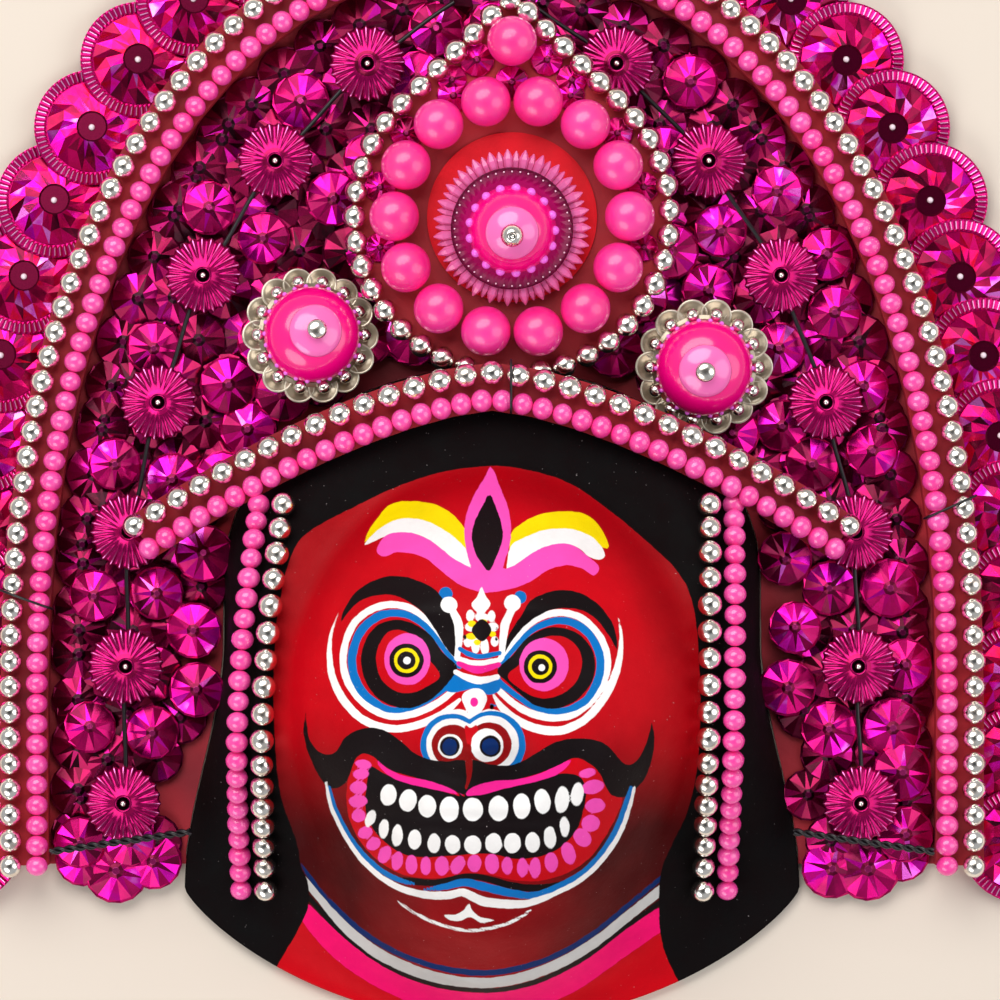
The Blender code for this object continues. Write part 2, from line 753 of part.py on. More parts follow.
def teardrop(margin, count):
    """A drop with its point towards the crown: a circle below, straight flanks meeting above."""
    radius = CREST_HALF_WIDTH + margin
    rise = CREST_TOP_Y + margin * 1.6 - CREST_Y
    tangent = math.asin(radius / rise)
    points = []
    arc = math.pi + 2 * tangent
    for step in range(count + 1):
        angle = math.pi - tangent + arc * step / count
        points.append((CREST_X + radius * math.cos(angle), CREST_Y + radius * math.sin(angle)))
    points.append((CREST_X, CREST_Y + rise))
    return points


def add_large_beads(collection):
    def bead(bm):
        bmesh.ops.create_uvsphere(bm, u_segments=8, v_segments=4, radius=LARGE_BEAD_RADIUS)

    mesh = mesh_from(bead, "large_bead")
    z = CREST_FACE + TOUCH + LARGE_BEAD_RADIUS
    for index in range(LARGE_BEAD_COUNT):
        angle = math.pi / 2 + 2 * math.pi * (index + 0.5) / LARGE_BEAD_COUNT
        made = add_object(f"large_bead_{index + 1:02d}", mesh, PINK, collection)
        x = CREST_X + LARGE_RING_RADIUS * math.cos(angle)
        made.location = (x, CREST_Y + LARGE_RING_RADIUS * math.sin(angle), z)
    top = add_object("large_bead_top", mesh, PINK, collection)
    top.location = (CREST_X, TOP_BEAD_Y, z)


def turned(name, profile, sides, finish, collection):
    """A turned solid from a profile that runs down its outer side from the tip to the base."""

    def outline(bm):
        corners = [bm.verts.new((radius, 0, z)) for radius, z in profile]
        for first, second in zip(corners, corners[1:]):
            bm.edges.new((first, second))

    made = add_object(name, mesh_from(outline, name), finish, collection)
    turn = made.modifiers.new("turn", "SCREW")
    turn.steps = sides
    turn.render_steps = sides
    turn.use_merge_vertices = True
    turn.merge_threshold = 0.00005
    return made


def dome_profile(radius, height, share, rings):
    """Tip to base of a cap that is share of an ellipse's height wide at the top."""
    points = [(0, height)]
    for step in range(1, rings + 1):
        angle = math.pi / 2 * step / rings
        points.append((radius * math.sin(angle), height * (share + (1 - share) * math.cos(angle))))
    return points + [(radius, 0), (0, 0)]


def add_crest_boss(collection):
    """Felt, toothed wheel, clear disc, acorn and finial, stacked on one leaning axis."""
    felt = [
        (CREST_X + FELT_RADIUS * math.cos(a), CREST_Y + FELT_RADIUS * math.sin(a))
        for a in (2 * math.pi * k / 20 for k in range(20))
    ]
    flat_card("crest_felt", [felt], CREST_FACE + TOUCH, FELT_THICKNESS, HOT_PINK, collection)
    lean_lift = WHEEL_RADIUS * math.sin(BOSS_LEAN)
    axis = bpy.data.objects.new("boss_axis", None)
    collection.objects.link(axis)
    base = CREST_FACE + FELT_THICKNESS + 3 * TOUCH + lean_lift
    axis.location = (CREST_X, CREST_Y - BOSS_DROP, base)
    axis.rotation_euler.x = BOSS_LEAN

    def wheel(bm):
        rim = []
        for tooth in range(WHEEL_TEETH):
            for part in (0, 0.5):
                angle = 2 * math.pi * (tooth + part) / WHEEL_TEETH
                radius = WHEEL_RADIUS - WHEEL_TOOTH * 2 * part
                rim.append((radius * math.cos(angle), radius * math.sin(angle)))
        low = [bm.verts.new((x, y, 0)) for x, y in rim]
        high = [bm.verts.new((x, y, WHEEL_TIP_HEIGHT)) for x, y in rim]
        crown = bm.verts.new((0, 0, WHEEL_HUB_HEIGHT))
        foot = bm.verts.new((0, 0, 0))
        for k in range(len(rim)):
            after = (k + 1) % len(rim)
            bm.faces.new((low[k], low[after], high[after], high[k]))
            bm.faces.new((high[k], high[after], crown))
            bm.faces.new((low[after], low[k], foot))

    hub = add_object("crest_wheel", mesh_from(wheel, "crest_wheel"), PINK, collection)
    clear_base = WHEEL_HUB_HEIGHT + TOUCH
    clear_profile = [
        (0, clear_base + CLEAR_THICKNESS),
        (CLEAR_RADIUS, clear_base + CLEAR_THICKNESS),
        (CLEAR_RADIUS, clear_base),
        (0, clear_base),
    ]
    clear = turned("crest_clear_disc", clear_profile, 20, MAGENTA, collection)
    acorn = turned(
        "crest_acorn", dome_profile(ACORN_RADIUS, ACORN_HEIGHT, 0.25, 4), 14, HOT_PINK, collection
    )
    acorn.location.z = clear_base + CLEAR_THICKNESS + TOUCH
    finial = add_object(
        "crest_finial",
        mesh_from(
            lambda bm: bmesh.ops.create_uvsphere(
                bm, u_segments=8, v_segments=6, radius=FINIAL_RADIUS
            ),
            "crest_finial",
        ),
        SILVER,
        collection,
    )
    finial.location.z = acorn.location.z + ACORN_HEIGHT + TOUCH + FINIAL_RADIUS
    for piece in (hub, clear, acorn, finial):
        piece.parent = axis


def add_crest(collection):
    plate = teardrop(CREST_MARGIN, CREST_STEPS)
    flat_card("crest_card", [plate], CREST_BASE, CREST_CARD, RED_CARD, collection)
    loop = lifted(teardrop(0, CREST_STEPS), CREST_FACE + TOUCH + SILVER_RADIUS)
    bead_string(
        "crest_silver_beads", loop, SILVER_PITCH, SILVER_RADIUS, SILVER, collection, closed=True
    )
    add_large_beads(collection)
    add_crest_boss(collection)


# Side bosses


def add_side_boss(word, collection):
    x, y, lean_x, lean_y = SIDE_BOSSES[word]
    lean = math.hypot(lean_x, lean_y)
    axis = bpy.data.objects.new(f"side_boss_{word}", None)
    collection.objects.link(axis)
    axis.location = (x, y, DISH_BASE + (DISH_RADIUS + DISH_SCALLOP) * math.sin(lean))
    axis.rotation_euler = (lean_x, lean_y, 0)

    def dish(bm):
        low, high = [], []
        steps = 2 * DISH_SCALLOPS
        for k in range(steps):
            angle = 2 * math.pi * k / steps
            radius = DISH_RADIUS + DISH_SCALLOP * math.cos(DISH_SCALLOPS * angle)
            low.append(bm.verts.new((radius * math.cos(angle), radius * math.sin(angle), 0)))
            high.append(
                bm.verts.new((radius * math.cos(angle), radius * math.sin(angle), DISH_THICKNESS))
            )
        bm.faces.new(low[::-1])
        bm.faces.new(high)
        for k in range(steps):
            after = (k + 1) % steps
            bm.faces.new((low[k], low[after], high[after], high[k]))

    base = add_object(f"boss_dish_{word}", mesh_from(dish, "boss_dish"), SILVER, collection)
    profile = dome_profile(DOME_RADIUS, DOME_HEIGHT, 0.2, 4)
    dome = turned(f"boss_dome_{word}", profile, 14, HOT_PINK, collection)
    dome.location.z = DISH_THICKNESS + TOUCH
    stud = turned(
        f"boss_stud_{word}", dome_profile(STUD_RADIUS, STUD_RADIUS, 0.3, 2), 8, SILVER, collection
    )
    stud.location.z = dome.location.z + DOME_HEIGHT + TOUCH
    for piece in (base, dome, stud):
        piece.parent = axis


def centre_on_origin(scene, pieces):
    """Moves the whole mask along Y, so that the origin is under the middle of its outline."""
    crown_y = SPRING_Y + ARCH_RISE + DISC_OFFSET + DISC_RADIUS
    frame = bpy.data.objects.new("mask_frame", None)
    scene.objects.link(frame)
    frame.location.y = -(crown_y + CHIN_Y) / 2
    for piece in pieces:
        if piece.parent is None:
            piece.parent = frame


def main():
    clear_scene()
    scene = bpy.context.scene.collection
    mask = bpy.data.collections.new("demon mask")
    helpers = bpy.data.collections.new("helpers")
    scene.children.link(mask)
    scene.children.link(helpers)
    shell = add_object("face_shell", mesh_from(build_face_shell, "face_shell"), FACE_RED, mask)
    shell.data.shade_smooth()
    add_board(mask)
    add_band_strip(mask)
    add_halo(mask, helpers)
    add_spangles(mask, helpers)
    add_stars(mask)
    add_wires(mask)
    add_band_strings(mask)
    add_brow(mask)
    add_side_strings(mask)
    add_crest(mask)
    for word in SIDE_BOSSES:
        add_side_boss(word, mask)
    centre_on_origin(scene, list(mask.objects) + list(helpers.objects))


main()
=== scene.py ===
"""The looks of a painted dance-theatre demon mask that lies on its back, built round its solids."""

import math

import bmesh
import bpy
import numpy as np
from mathutils import Matrix, Vector


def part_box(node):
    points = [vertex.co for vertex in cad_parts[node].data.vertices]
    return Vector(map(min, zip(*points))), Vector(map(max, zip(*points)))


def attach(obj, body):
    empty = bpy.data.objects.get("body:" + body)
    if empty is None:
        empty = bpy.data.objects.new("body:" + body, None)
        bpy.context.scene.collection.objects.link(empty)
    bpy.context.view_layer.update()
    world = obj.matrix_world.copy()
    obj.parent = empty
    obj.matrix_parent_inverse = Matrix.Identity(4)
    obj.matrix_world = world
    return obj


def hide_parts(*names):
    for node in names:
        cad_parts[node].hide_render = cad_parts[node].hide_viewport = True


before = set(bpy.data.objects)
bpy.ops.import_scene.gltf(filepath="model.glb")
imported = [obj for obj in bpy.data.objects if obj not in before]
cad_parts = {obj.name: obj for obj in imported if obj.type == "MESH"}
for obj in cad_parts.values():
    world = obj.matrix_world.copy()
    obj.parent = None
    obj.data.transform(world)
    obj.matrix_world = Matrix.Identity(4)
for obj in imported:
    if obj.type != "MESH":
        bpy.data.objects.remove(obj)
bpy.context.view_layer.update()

# The face, hair and collar
# One hollow shell of pasted paper over a mould, 3.5 mm thick. It is primed, painted by brush in
# gloss enamel, and varnished; the red darkens towards the jaw, partly by a darker spray and partly
# as painted shade where the face turns away.

MM = 0.001
FACE_Y = -111.3 * MM
FACE_HALF_WIDTH = 80 * MM
FACE_UP = 94 * MM
FACE_DOWN = 112 * MM
FACE_HEIGHT = 92 * MM
HAIR_HALF_WIDTH = 108 * MM
HAIR_TOP_Y = 22.7 * MM
HAIR_SPRING_Y = -61.3 * MM
HAIR_CORNER = (124 * MM, -187.3 * MM)
CHIN_Y = -241.3 * MM
HAIR_HEIGHT_SIDE = 52 * MM
HAIR_HEIGHT_TOP = 34 * MM
HAIR_HEIGHT_CHIN = 24 * MM
SHELL_EDGE = 4 * MM
SHELL_WALL = 3.5 * MM
HEM_CURVE = 1.6
DOME_CURVE = 3
FILLET = 0.15
FEATURE_X = -7 * MM
EYE_SPREAD = 27 * MM
EYE_Y = -96.3 * MM
NOSE_Y = -126.3 * MM
MOUTH_Y = -157.3 * MM
CHIN_KNOB_Y = -201.3 * MM
SHELL_SECTORS = 420
FACE_STEPS = 100
HAIR_STEPS = 34
INNER_STEPS = 24
HAIR_CROWDING = 0.85


def smoothstep(low, high, value):
    share = np.clip((value - low) / (high - low), 0, 1)
    return share * share * (3 - 2 * share)


def bump(x, y, centre_x, centre_y, spread_x, spread_y):
    return np.exp(-(((x - centre_x) / spread_x) ** 2) - ((y - centre_y) / spread_y) ** 2)


def hair_rim():
    """The rim of the shell, anticlockwise from the right-hand spring line."""
    rise = HAIR_TOP_Y - HAIR_SPRING_Y
    turn = np.linspace(0, math.pi, 129)
    crown = np.column_stack((HAIR_HALF_WIDTH * np.cos(turn), HAIR_SPRING_Y + rise * np.sin(turn)))
    corner_x, corner_y = HAIR_CORNER
    along = np.linspace(0, 1, 33)[1:]
    flare_x = HAIR_HALF_WIDTH + (corner_x - HAIR_HALF_WIDTH) * smoothstep(0.2, 1, along)
    flare = np.column_stack((flare_x, HAIR_SPRING_Y + (corner_y - HAIR_SPRING_Y) * along))
    turn = np.linspace(0, math.pi / 2, 49)[1:-1]
    hem_y = corner_y + (CHIN_Y - corner_y) * np.sin(turn) ** HEM_CURVE
    hem = np.column_stack((corner_x * np.cos(turn), hem_y))
    side = np.vstack((flare, hem))
    mirrored = side * (-1, 1)
    return np.vstack((crown, mirrored, [(0, CHIN_Y)], side[::-1]))


RIM = hair_rim() - (0, FACE_Y)
RIM_ANGLE = np.unwrap(np.arctan2(RIM[:, 1], RIM[:, 0]))
RIM_REACH = np.hypot(RIM[:, 0], RIM[:, 1])


def rim_distance(angle):
    """How far the rim lies from the middle of the face at an angle."""
    start = RIM_ANGLE[0]
    turned = start + np.mod(angle - start, 2 * math.pi)
    angles = np.append(RIM_ANGLE, start + 2 * math.pi)
    return np.interp(turned, angles, np.append(RIM_REACH, RIM_REACH[0]))


def carved(x, y):
    """The brow, eyes, nose, cheeks, lips and chin, in metres above the plain egg of the face."""
    height = np.zeros_like(x)
    for side in (-1, 1):
        eye_x = FEATURE_X + side * EYE_SPREAD
        height -= 4 * bump(x, y, eye_x, EYE_Y, 25 * MM, 20 * MM)
        height += 5.5 * bump(x, y, eye_x, EYE_Y, 14 * MM, 12 * MM)
        height += 4 * bump(x, y, eye_x, EYE_Y + 23 * MM, 22 * MM, 7 * MM)
        height += 6 * bump(x, y, FEATURE_X + side * 11 * MM, NOSE_Y, 8 * MM, 7 * MM)
        height -= 2.5 * bump(x, y, FEATURE_X + side * 8 * MM, NOSE_Y - 3 * MM, 3.2 * MM, 3 * MM)
        height += 5 * bump(x, y, FEATURE_X + side * 50 * MM, NOSE_Y - 8 * MM, 20 * MM, 20 * MM)
    height += 8 * bump(x, y, FEATURE_X, NOSE_Y + 24 * MM, 9 * MM, 20 * MM)
    height += 13 * bump(x, y, FEATURE_X, NOSE_Y, 13 * MM, 11 * MM)
    height += 5 * bump(x, y, FEATURE_X, MOUTH_Y, 46 * MM, 22 * MM)
    height -= 1.6 * bump(x, y, FEATURE_X, MOUTH_Y + 2 * MM, 38 * MM, 3 * MM)
    height += 1.5 * bump(x, y, FEATURE_X, MOUTH_Y - 28 * MM, 34 * MM, 4 * MM)
    height += 4 * bump(x, y, FEATURE_X, CHIN_KNOB_Y, 20 * MM, 10 * MM)
    return height * MM


def shell_height(x, y, detailed=True):
    """Height of the shell's outside over points inside its rim."""
    dx = np.asarray(x, dtype=float)
    dy = np.asarray(y, dtype=float) - FACE_Y
    distance = np.maximum(np.hypot(dx, dy), 1e-7)
    across = dx / FACE_HALF_WIDTH
    along = dy / np.where(dy > 0, FACE_UP, FACE_DOWN)
    radius = np.maximum(np.hypot(across, along), 1e-7)
    lift = along / radius
    low = smoothstep(0.05, 0.5, -lift)
    high = smoothstep(0.3, 0.9, lift)
    hem = HAIR_HEIGHT_SIDE + (HAIR_HEIGHT_CHIN - HAIR_HEIGHT_SIDE) * low
    hem = hem + (HAIR_HEIGHT_TOP - HAIR_HEIGHT_SIDE) * high
    swell = 1 - radius**DOME_CURVE
    dome = (swell + np.hypot(swell, FILLET)) / (1 + math.hypot(1, FILLET))
    edge = distance / radius
    out = np.clip((distance - edge) / (rim_distance(np.arctan2(dy, dx)) - edge), 0, 1)
    skirt = hem * (1 - out ** (4 - 2.6 * low)) ** (1 + 1.2 * low)
    height = skirt + (FACE_HEIGHT - hem) * dome + SHELL_EDGE
    if detailed:
        height = height + carved(dx, dy + FACE_Y) * smoothstep(1.15, 0.8, radius)
    return height


def loft(rings, top, under):
    """A mesh through closed rings of equal counts, its first and last drawn to a point each."""
    count = len(rings[0])
    last = count * (len(rings) - 1)
    tip = last + count
    faces = []
    for low in range(0, last, count):
        for k in range(count):
            after = (k + 1) % count
            faces.append((low + k, low + count + k, low + count + after, low + after))
    faces += [(tip, k, (k + 1) % count) for k in range(count)]
    faces += [(tip + 1, last + (k + 1) % count, last + k) for k in range(count)]
    return np.vstack((*rings, top, under)), faces


def in_scene(name, data):
    """A new object of the scene, unturned at the origin."""
    made = bpy.data.objects.new(name, data)
    bpy.context.scene.collection.objects.link(made)
    return made


def make_object(name, verts, faces, material):
    mesh = bpy.data.meshes.new(name)
    mesh.from_pydata(verts, [], faces)
    mesh.materials.append(material)
    return in_scene(name, mesh)


def finish_piece(piece, slot, *nodes):
    """Hides the solids that a piece stands for and lets it ride on the mask. The slot is not used."""
    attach(piece, "root")
    if nodes:
        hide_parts(*nodes)


def shell_rings():
    angle = (np.arange(SHELL_SECTORS) + 0.5) * 2 * math.pi / SHELL_SECTORS
    way_x, way_y = np.cos(angle), np.sin(angle)
    edge = 1 / np.hypot(way_x / FACE_HALF_WIDTH, way_y / np.where(way_y > 0, FACE_UP, FACE_DOWN))
    rim = rim_distance(angle)

    def ring(reach, height):
        x, y = way_x * reach, FACE_Y + way_y * reach
        return np.column_stack((x, y, height(x, y)))

    def inside(x, y):
        reach = np.hypot(x, y - FACE_Y)
        grow = (reach + SHELL_WALL) / reach
        over = shell_height(x * grow, FACE_Y + (y - FACE_Y) * grow, detailed=False)
        return np.maximum(0, over - SHELL_EDGE - SHELL_WALL)

    rings = [ring(edge * step / FACE_STEPS, shell_height) for step in range(1, FACE_STEPS + 1)]
    for step in range(1, HAIR_STEPS + 1):
        share = (step / HAIR_STEPS) ** HAIR_CROWDING
        rings.append(ring(edge + (rim - edge) * share, shell_height))
    rings.append(ring(rim, lambda x, y: 0 * x))
    mouth = rim - 2 * SHELL_WALL
    for step in range(INNER_STEPS, 0, -1):
        rings.append(ring(mouth * step / INNER_STEPS, inside))
    top = (0, FACE_Y, float(shell_height(0, FACE_Y)))
    under = (0, FACE_Y, FACE_HEIGHT - SHELL_WALL)
    return loft(rings, top, under)


# The painted figures of the face, brushed on in the order below. Places are millimetres to the right
# of and above the middle of the face; a line's third number is half the width of the stroke there, and
# a spot has its two radii and, if it is turned, the degrees.
def from_screen(red, green, blue):
    """A colour as a screen shows it, from 0 to 255, made linear."""
    return tuple((value / 255) ** 2.2 for value in (red, green, blue)) + (1.0,)


PAINT_RED = from_screen(204, 0, 26)
DEEP_RED = from_screen(150, 10, 16)
LIP_RED = from_screen(206, 0, 26)
# The maroon stands both for the darker spray and for painted shade.
JAW_MAROON = from_screen(74, 0, 10)
HAIR_BLACK = from_screen(16, 14, 15)
BLACK = from_screen(24, 18, 20)
WHITE = from_screen(254, 252, 250)
CHALK = from_screen(206, 204, 202)
BLUE = from_screen(12, 116, 196)
NAVY = from_screen(4, 46, 104)
YELLOW = from_screen(255, 226, 0)
PAINT_PINK = from_screen(255, 84, 188)
HOT_PINK_PAINT = from_screen(250, 40, 150)
HOT_PINK = from_screen(255, 12, 112)
PAINT_LAYERS = (
    ("bright_lips", LIP_RED,
        ("fill", (-52.7, -20.6), (-56.4, -26.5), (-58.2, -35.1), (-57.8, -43.6), (-55.3, -51.1),
         (-51.0, -58.1), (-44.1, -64.5), (-35.5, -69.1), (-24.8, -70.6), (-16.2, -69.9), (-9.8, -68.5),
         (-0.1, -69.3), (9.5, -71.3), (19.1, -71.5), (29.9, -68.5), (38.4, -62.9), (44.3, -55.4),
         (49.7, -45.8), (51.8, -37.7), (43.8, -28.6), (33.1, -22.2), (11.6, -24.3), (-9.8, -28.6),
         (-36.6, -22.2)),
    ),
    ("collar_red", PAINT_RED,
        ("fill", (-92, -58), (-74, -81), (-60, -96), (-40, -107), (-20, -113), (0, -116), (20, -114),
         (40, -105), (60, -92), (84, -68), (104, -80), (112, -150), (-112, -150), (-106, -70)),
    ),
    ("collar_pink", HOT_PINK,
        ("line", (-74.6, -83.8, 3.21), (-67.7, -91.9, 4.07), (-59.1, -99.9, 4.5), (-49.4, -106.9, 4.5),
         (-38.7, -112.7, 4.5), (-26.9, -117.6, 4.5), (-9.8, -120.6, 4.5), (7.4, -119.9, 4.5),
         (22.4, -115.6, 4.5), (33.1, -110.6, 4.5), (43.8, -103.1, 4.5), (56.6, -94.0, 4.5),
         (67.9, -86.5, 4.29)),
    ),
    ("collar_black", HAIR_BLACK,
        ("line", (-74.6, -76.8, 0.96), (-64.4, -87.8, 1.18), (-54.8, -96.4, 1.29), (-44.1, -104.0, 1.29),
         (-33.4, -109.5, 1.18), (-20.5, -113.5, 1.07), (-7.7, -115.2, 0.96), (4.1, -115.0, 0.96),
         (15.9, -112.4, 0.96), (26.6, -108.1, 0.96), (38.4, -101.5, 0.96), (50.2, -92.4, 0.96),
         (68.4, -79.2, 0.96)),
    ),
    ("collar_white", CHALK,
        ("line", (-75.7, -70.4, 1.29), (-66.6, -81.1, 1.61), (-58.0, -90.8, 1.93), (-47.3, -99.4, 2.14),
         (-36.6, -105.2, 2.14), (-24.8, -109.5, 2.14), (-11.9, -112.0, 2.04), (0.9, -112.2, 2.04),
         (11.6, -110.3, 2.04), (22.4, -106.6, 2.04), (33.1, -101.3, 2.04), (43.8, -94.2, 1.93),
         (54.5, -85.6, 1.93), (68.4, -74.5, 1.93)),
    ),
    ("collar_navy", NAVY,
        ("line", (-77.3, -64.5, 0.86), (-70.9, -72.6, 0.86), (-63.4, -81.3, 0.96), (-52.7, -91.3, 1.07),
         (-41.9, -98.3, 1.07), (-31.2, -103.1, 1.07), (-20.5, -106.4, 1.18), (-9.8, -108.1, 1.18),
         (0.9, -108.2, 1.18), (11.6, -106.3, 1.18), (22.4, -102.8, 1.07), (33.1, -97.4, 1.07),
         (43.8, -90.2, 0.96), (54.5, -81.3, 0.96), (69.0, -69.3, 0.96)),
    ),
    ("hair", HAIR_BLACK,
        ("outside", (-0.4, 94.4), (14.4, 92.8), (31.6, 87.2), (48.8, 75.2), (64.0, 62.4), (75.2, 50.8),
         (80.8, 36.8), (83.2, 8.8), (82.4, -23.2), (78.4, -43.2), (72.4, -56.0), (67.6, -68.0),
         (66.8, -81.2), (68.0, -96.0), (73.2, -109.2), (83.2, -127.2), (89.2, -143.2), (3.2, -149.2),
         (-96.8, -143.2), (-92.0, -119.2), (-84.8, -103.6), (-78.4, -92.8), (-73.6, -82.0),
         (-73.6, -72.4), (-76.4, -65.6), (-78.4, -55.2), (-84.8, -36.0), (-87.2, -7.2), (-86.8, 24.8),
         (-83.2, 48.8), (-78.4, 62.4), (-71.6, 69.2), (-54.4, 78.4), (-37.2, 86.4), (-20.0, 92.0)),
    ),
    ("outer_white", WHITE,
        ("line", (-60.9, 36.2, 0.23), (-64.5, 26.7, 0.69), (-64.9, 16.4, 1.15), (-62.9, 7.2, 1.49),
         (-58.0, -1.0, 1.61), (-50.9, -7.5, 1.61), (-41.7, -10.5, 1.49), (-32.5, -10.0, 1.49),
         (-24.5, -7.1, 1.49), (-18.2, -3.7, 1.38), (-13.0, 0.9, 0.69)),
        ("line", (50.6, 33.4, 0.23), (51.7, 25.6, 0.69), (50.8, 16.4, 1.26), (47.8, 7.2, 1.61),
         (43.2, -0.6, 1.61), (36.3, -7.7, 1.61), (27.1, -11.4, 1.72), (18.0, -10.7, 1.72),
         (9.9, -7.1, 1.61), (4.2, -2.5, 1.38), (0.7, 2.6, 0.57)),
        ("line", (-13.6, 16.4, 1.03), (-19.9, 23.8, 1.15), (-25.1, 31.3, 1.26), (-31.4, 36.8, 1.38),
         (-38.3, 38.9, 1.38), (-46.3, 37.9, 1.38), (-53.8, 33.1, 1.38), (-58.0, 25.6, 1.38),
         (-59.6, 17.0, 1.38), (-58.0, 8.9, 1.49), (-53.8, 2.6, 1.72), (-47.5, -2.5, 1.95),
         (-39.4, -5.4, 1.72), (-30.3, -4.3, 1.49), (-22.2, -0.6, 1.38), (-15.3, 4.7, 1.15)),
        ("line", (3.0, 17.0, 1.03), (9.0, 24.4, 1.15), (15.1, 31.3, 1.26), (22.0, 35.0, 1.38),
         (28.9, 35.7, 1.38), (35.8, 33.6, 1.38), (41.5, 28.5, 1.38), (45.3, 21.6, 1.38),
         (46.2, 14.1, 1.38), (43.8, 6.3, 1.49), (38.6, -0.2, 1.72), (31.7, -4.8, 1.84),
         (23.7, -6.0, 1.72), (15.1, -4.3, 1.49), (8.2, -0.2, 1.38), (2.5, 4.9, 1.15)),
    ),
    ("eye_blue", BLUE,
        ("line", (-13.0, 14.1, 0.92), (-19.2, 21.0, 1.03), (-24.5, 28.1, 1.15), (-30.8, 33.4, 1.38),
         (-37.7, 35.6, 1.49), (-45.2, 34.4, 1.61), (-51.5, 29.6, 1.72), (-55.0, 22.7, 1.72),
         (-56.0, 15.3, 1.72), (-54.1, 7.8, 1.72), (-49.2, 1.5, 1.61), (-40.6, -3.1, 1.26),
         (-31.4, -2.0, 1.15), (-23.4, 2.1, 1.15), (-15.3, 8.4, 1.38)),
        ("line", (3.0, 14.1, 0.92), (8.8, 21.2, 1.03), (15.1, 27.9, 1.15), (22.0, 31.6, 1.38),
         (28.9, 32.5, 1.49), (35.2, 30.2, 1.61), (40.0, 25.6, 1.61), (42.8, 19.3, 1.61),
         (43.2, 12.4, 1.61), (40.9, 5.5, 1.61), (35.8, -0.6, 1.49), (27.1, -3.7, 1.26),
         (18.0, -2.5, 1.15), (11.1, 1.5, 1.15), (3.0, 7.8, 1.38)),
        ("fill", (-15.3, 11.2), (-6.1, 8.4), (2.5, 10.7), (3.0, 4.9), (-1.6, 2.9), (-6.1, 5.2),
         (-10.7, 4.7), (-15.3, 3.8), (-18.2, 5.2)),
        ("spots", (-18.5, 43.3, 2.76, 2.76), (11.3, 41.9, 2.53, 2.53)),
    ),
    ("brows_and_lids", BLACK,
        ("fill", (-60.9, 31.3), (-58.7, 38.0), (-54.4, 44.0), (-48.4, 48.1), (-41.5, 50.3), (-34.3, 49.9),
         (-28.0, 47.9), (-22.8, 44.9), (-19.3, 40.5), (-15.3, 33.6), (-14.2, 25.6), (-14.8, 18.1),
         (-18.5, 21.9), (-22.2, 28.1), (-27.0, 35.0), (-32.8, 39.8), (-39.4, 42.6), (-46.3, 42.6),
         (-53.0, 40.3), (-57.6, 35.9)),
        ("fill", (4.0, 18.1), (5.6, 24.4), (8.8, 30.4), (12.5, 35.7), (15.1, 40.3), (20.8, 43.4),
         (27.4, 44.8), (34.0, 44.0), (40.0, 41.0), (45.5, 35.7), (49.2, 28.8), (50.1, 20.4), (47.3, 25.6),
         (43.0, 31.8), (37.2, 36.2), (30.6, 37.5), (23.5, 36.8), (16.8, 33.4), (11.3, 28.6), (7.4, 23.5)),
        ("fill", (-14.0, 13.9), (-19.5, 19.6), (-24.3, 26.3), (-30.8, 31.1), (-38.1, 32.9), (-44.9, 31.3),
         (-50.0, 25.8), (-52.3, 18.5), (-51.4, 10.4), (-47.2, 2.9), (-40.1, -1.5), (-32.3, -2.4),
         (-24.5, 0.9), (-18.5, 6.6)),
        ("fill", (2.1, 12.7), (7.9, 18.5), (12.7, 24.4), (17.7, 28.1), (24.2, 30.0), (30.8, 29.0),
         (36.6, 25.6), (40.5, 19.6), (41.2, 12.7), (38.6, 5.8), (32.9, 0.1), (25.1, -2.7), (17.3, -1.3),
         (11.3, 3.1), (6.3, 7.7)),
    ),
    ("eye_red", PAINT_RED,
        ("fill", (-20.8, 10.4), (-25.4, 17.3), (-29.1, 24.2), (-34.6, 28.1), (-40.1, 28.6), (-44.5, 24.4),
         (-46.3, 17.6), (-44.9, 10.4), (-40.4, 5.4), (-34.4, 3.5), (-27.7, 5.4)),
        ("fill", (6.3, 10.0), (11.1, 15.3), (14.7, 21.2), (20.5, 25.6), (26.5, 26.5), (32.0, 24.4),
         (35.4, 19.6), (35.9, 13.9), (33.6, 8.1), (28.5, 3.5), (21.6, 1.5), (14.7, 3.1)),
    ),
    ("eye_pink", PAINT_PINK,
        ("spots", (-33.9, 17.1, 9.18, 10.33), (20.8, 15.0, 9.87, 10.56)),
    ),
    ("iris", BLACK,
        ("spots", (-34.2, 16.6, 6.89, 6.89), (19.3, 14.1, 6.66, 6.66)),
    ),
    ("iris_ring", YELLOW,
        ("rings", (-34.2, 16.6, 4.35, 0.7), (19.3, 14.1, 4.15, 0.7)),
    ),
    ("pupil_light", WHITE,
        ("spots", (-34.0, 16.6, 1.49, 1.49), (19.9, 13.7, 1.38, 1.38)),
    ),
    ("wing_yellow", YELLOW,
        ("fill", (-51.1, 62.9), (-49.2, 69.0), (-44.6, 75.0), (-41.7, 78.4), (-36.9, 80.2), (-30.0, 80.3),
         (-23.4, 79.2), (-17.1, 76.1), (-12.5, 71.5), (-9.6, 66.3), (-9.6, 56.6), (-15.3, 62.3),
         (-24.5, 68.6), (-33.7, 70.9), (-42.9, 69.8), (-48.6, 65.8)),
        ("fill", (7.4, 66.9), (12.2, 71.7), (18.2, 74.7), (26.0, 76.2), (34.0, 76.0), (40.0, 73.6),
         (44.4, 68.1), (46.7, 62.1), (43.8, 62.1), (39.2, 65.2), (32.9, 67.5), (24.8, 67.8), (18.0, 65.8),
         (12.2, 62.9), (7.6, 58.9)),
    ),
    ("wing_white", WHITE,
        ("fill", (-51.1, 62.9), (-47.2, 67.5), (-41.5, 71.5), (-34.6, 73.6), (-26.6, 72.5), (-19.7, 69.1),
         (-14.2, 65.1), (-9.6, 59.8), (-8.4, 53.1), (-15.3, 57.2), (-19.9, 60.7), (-24.5, 64.4),
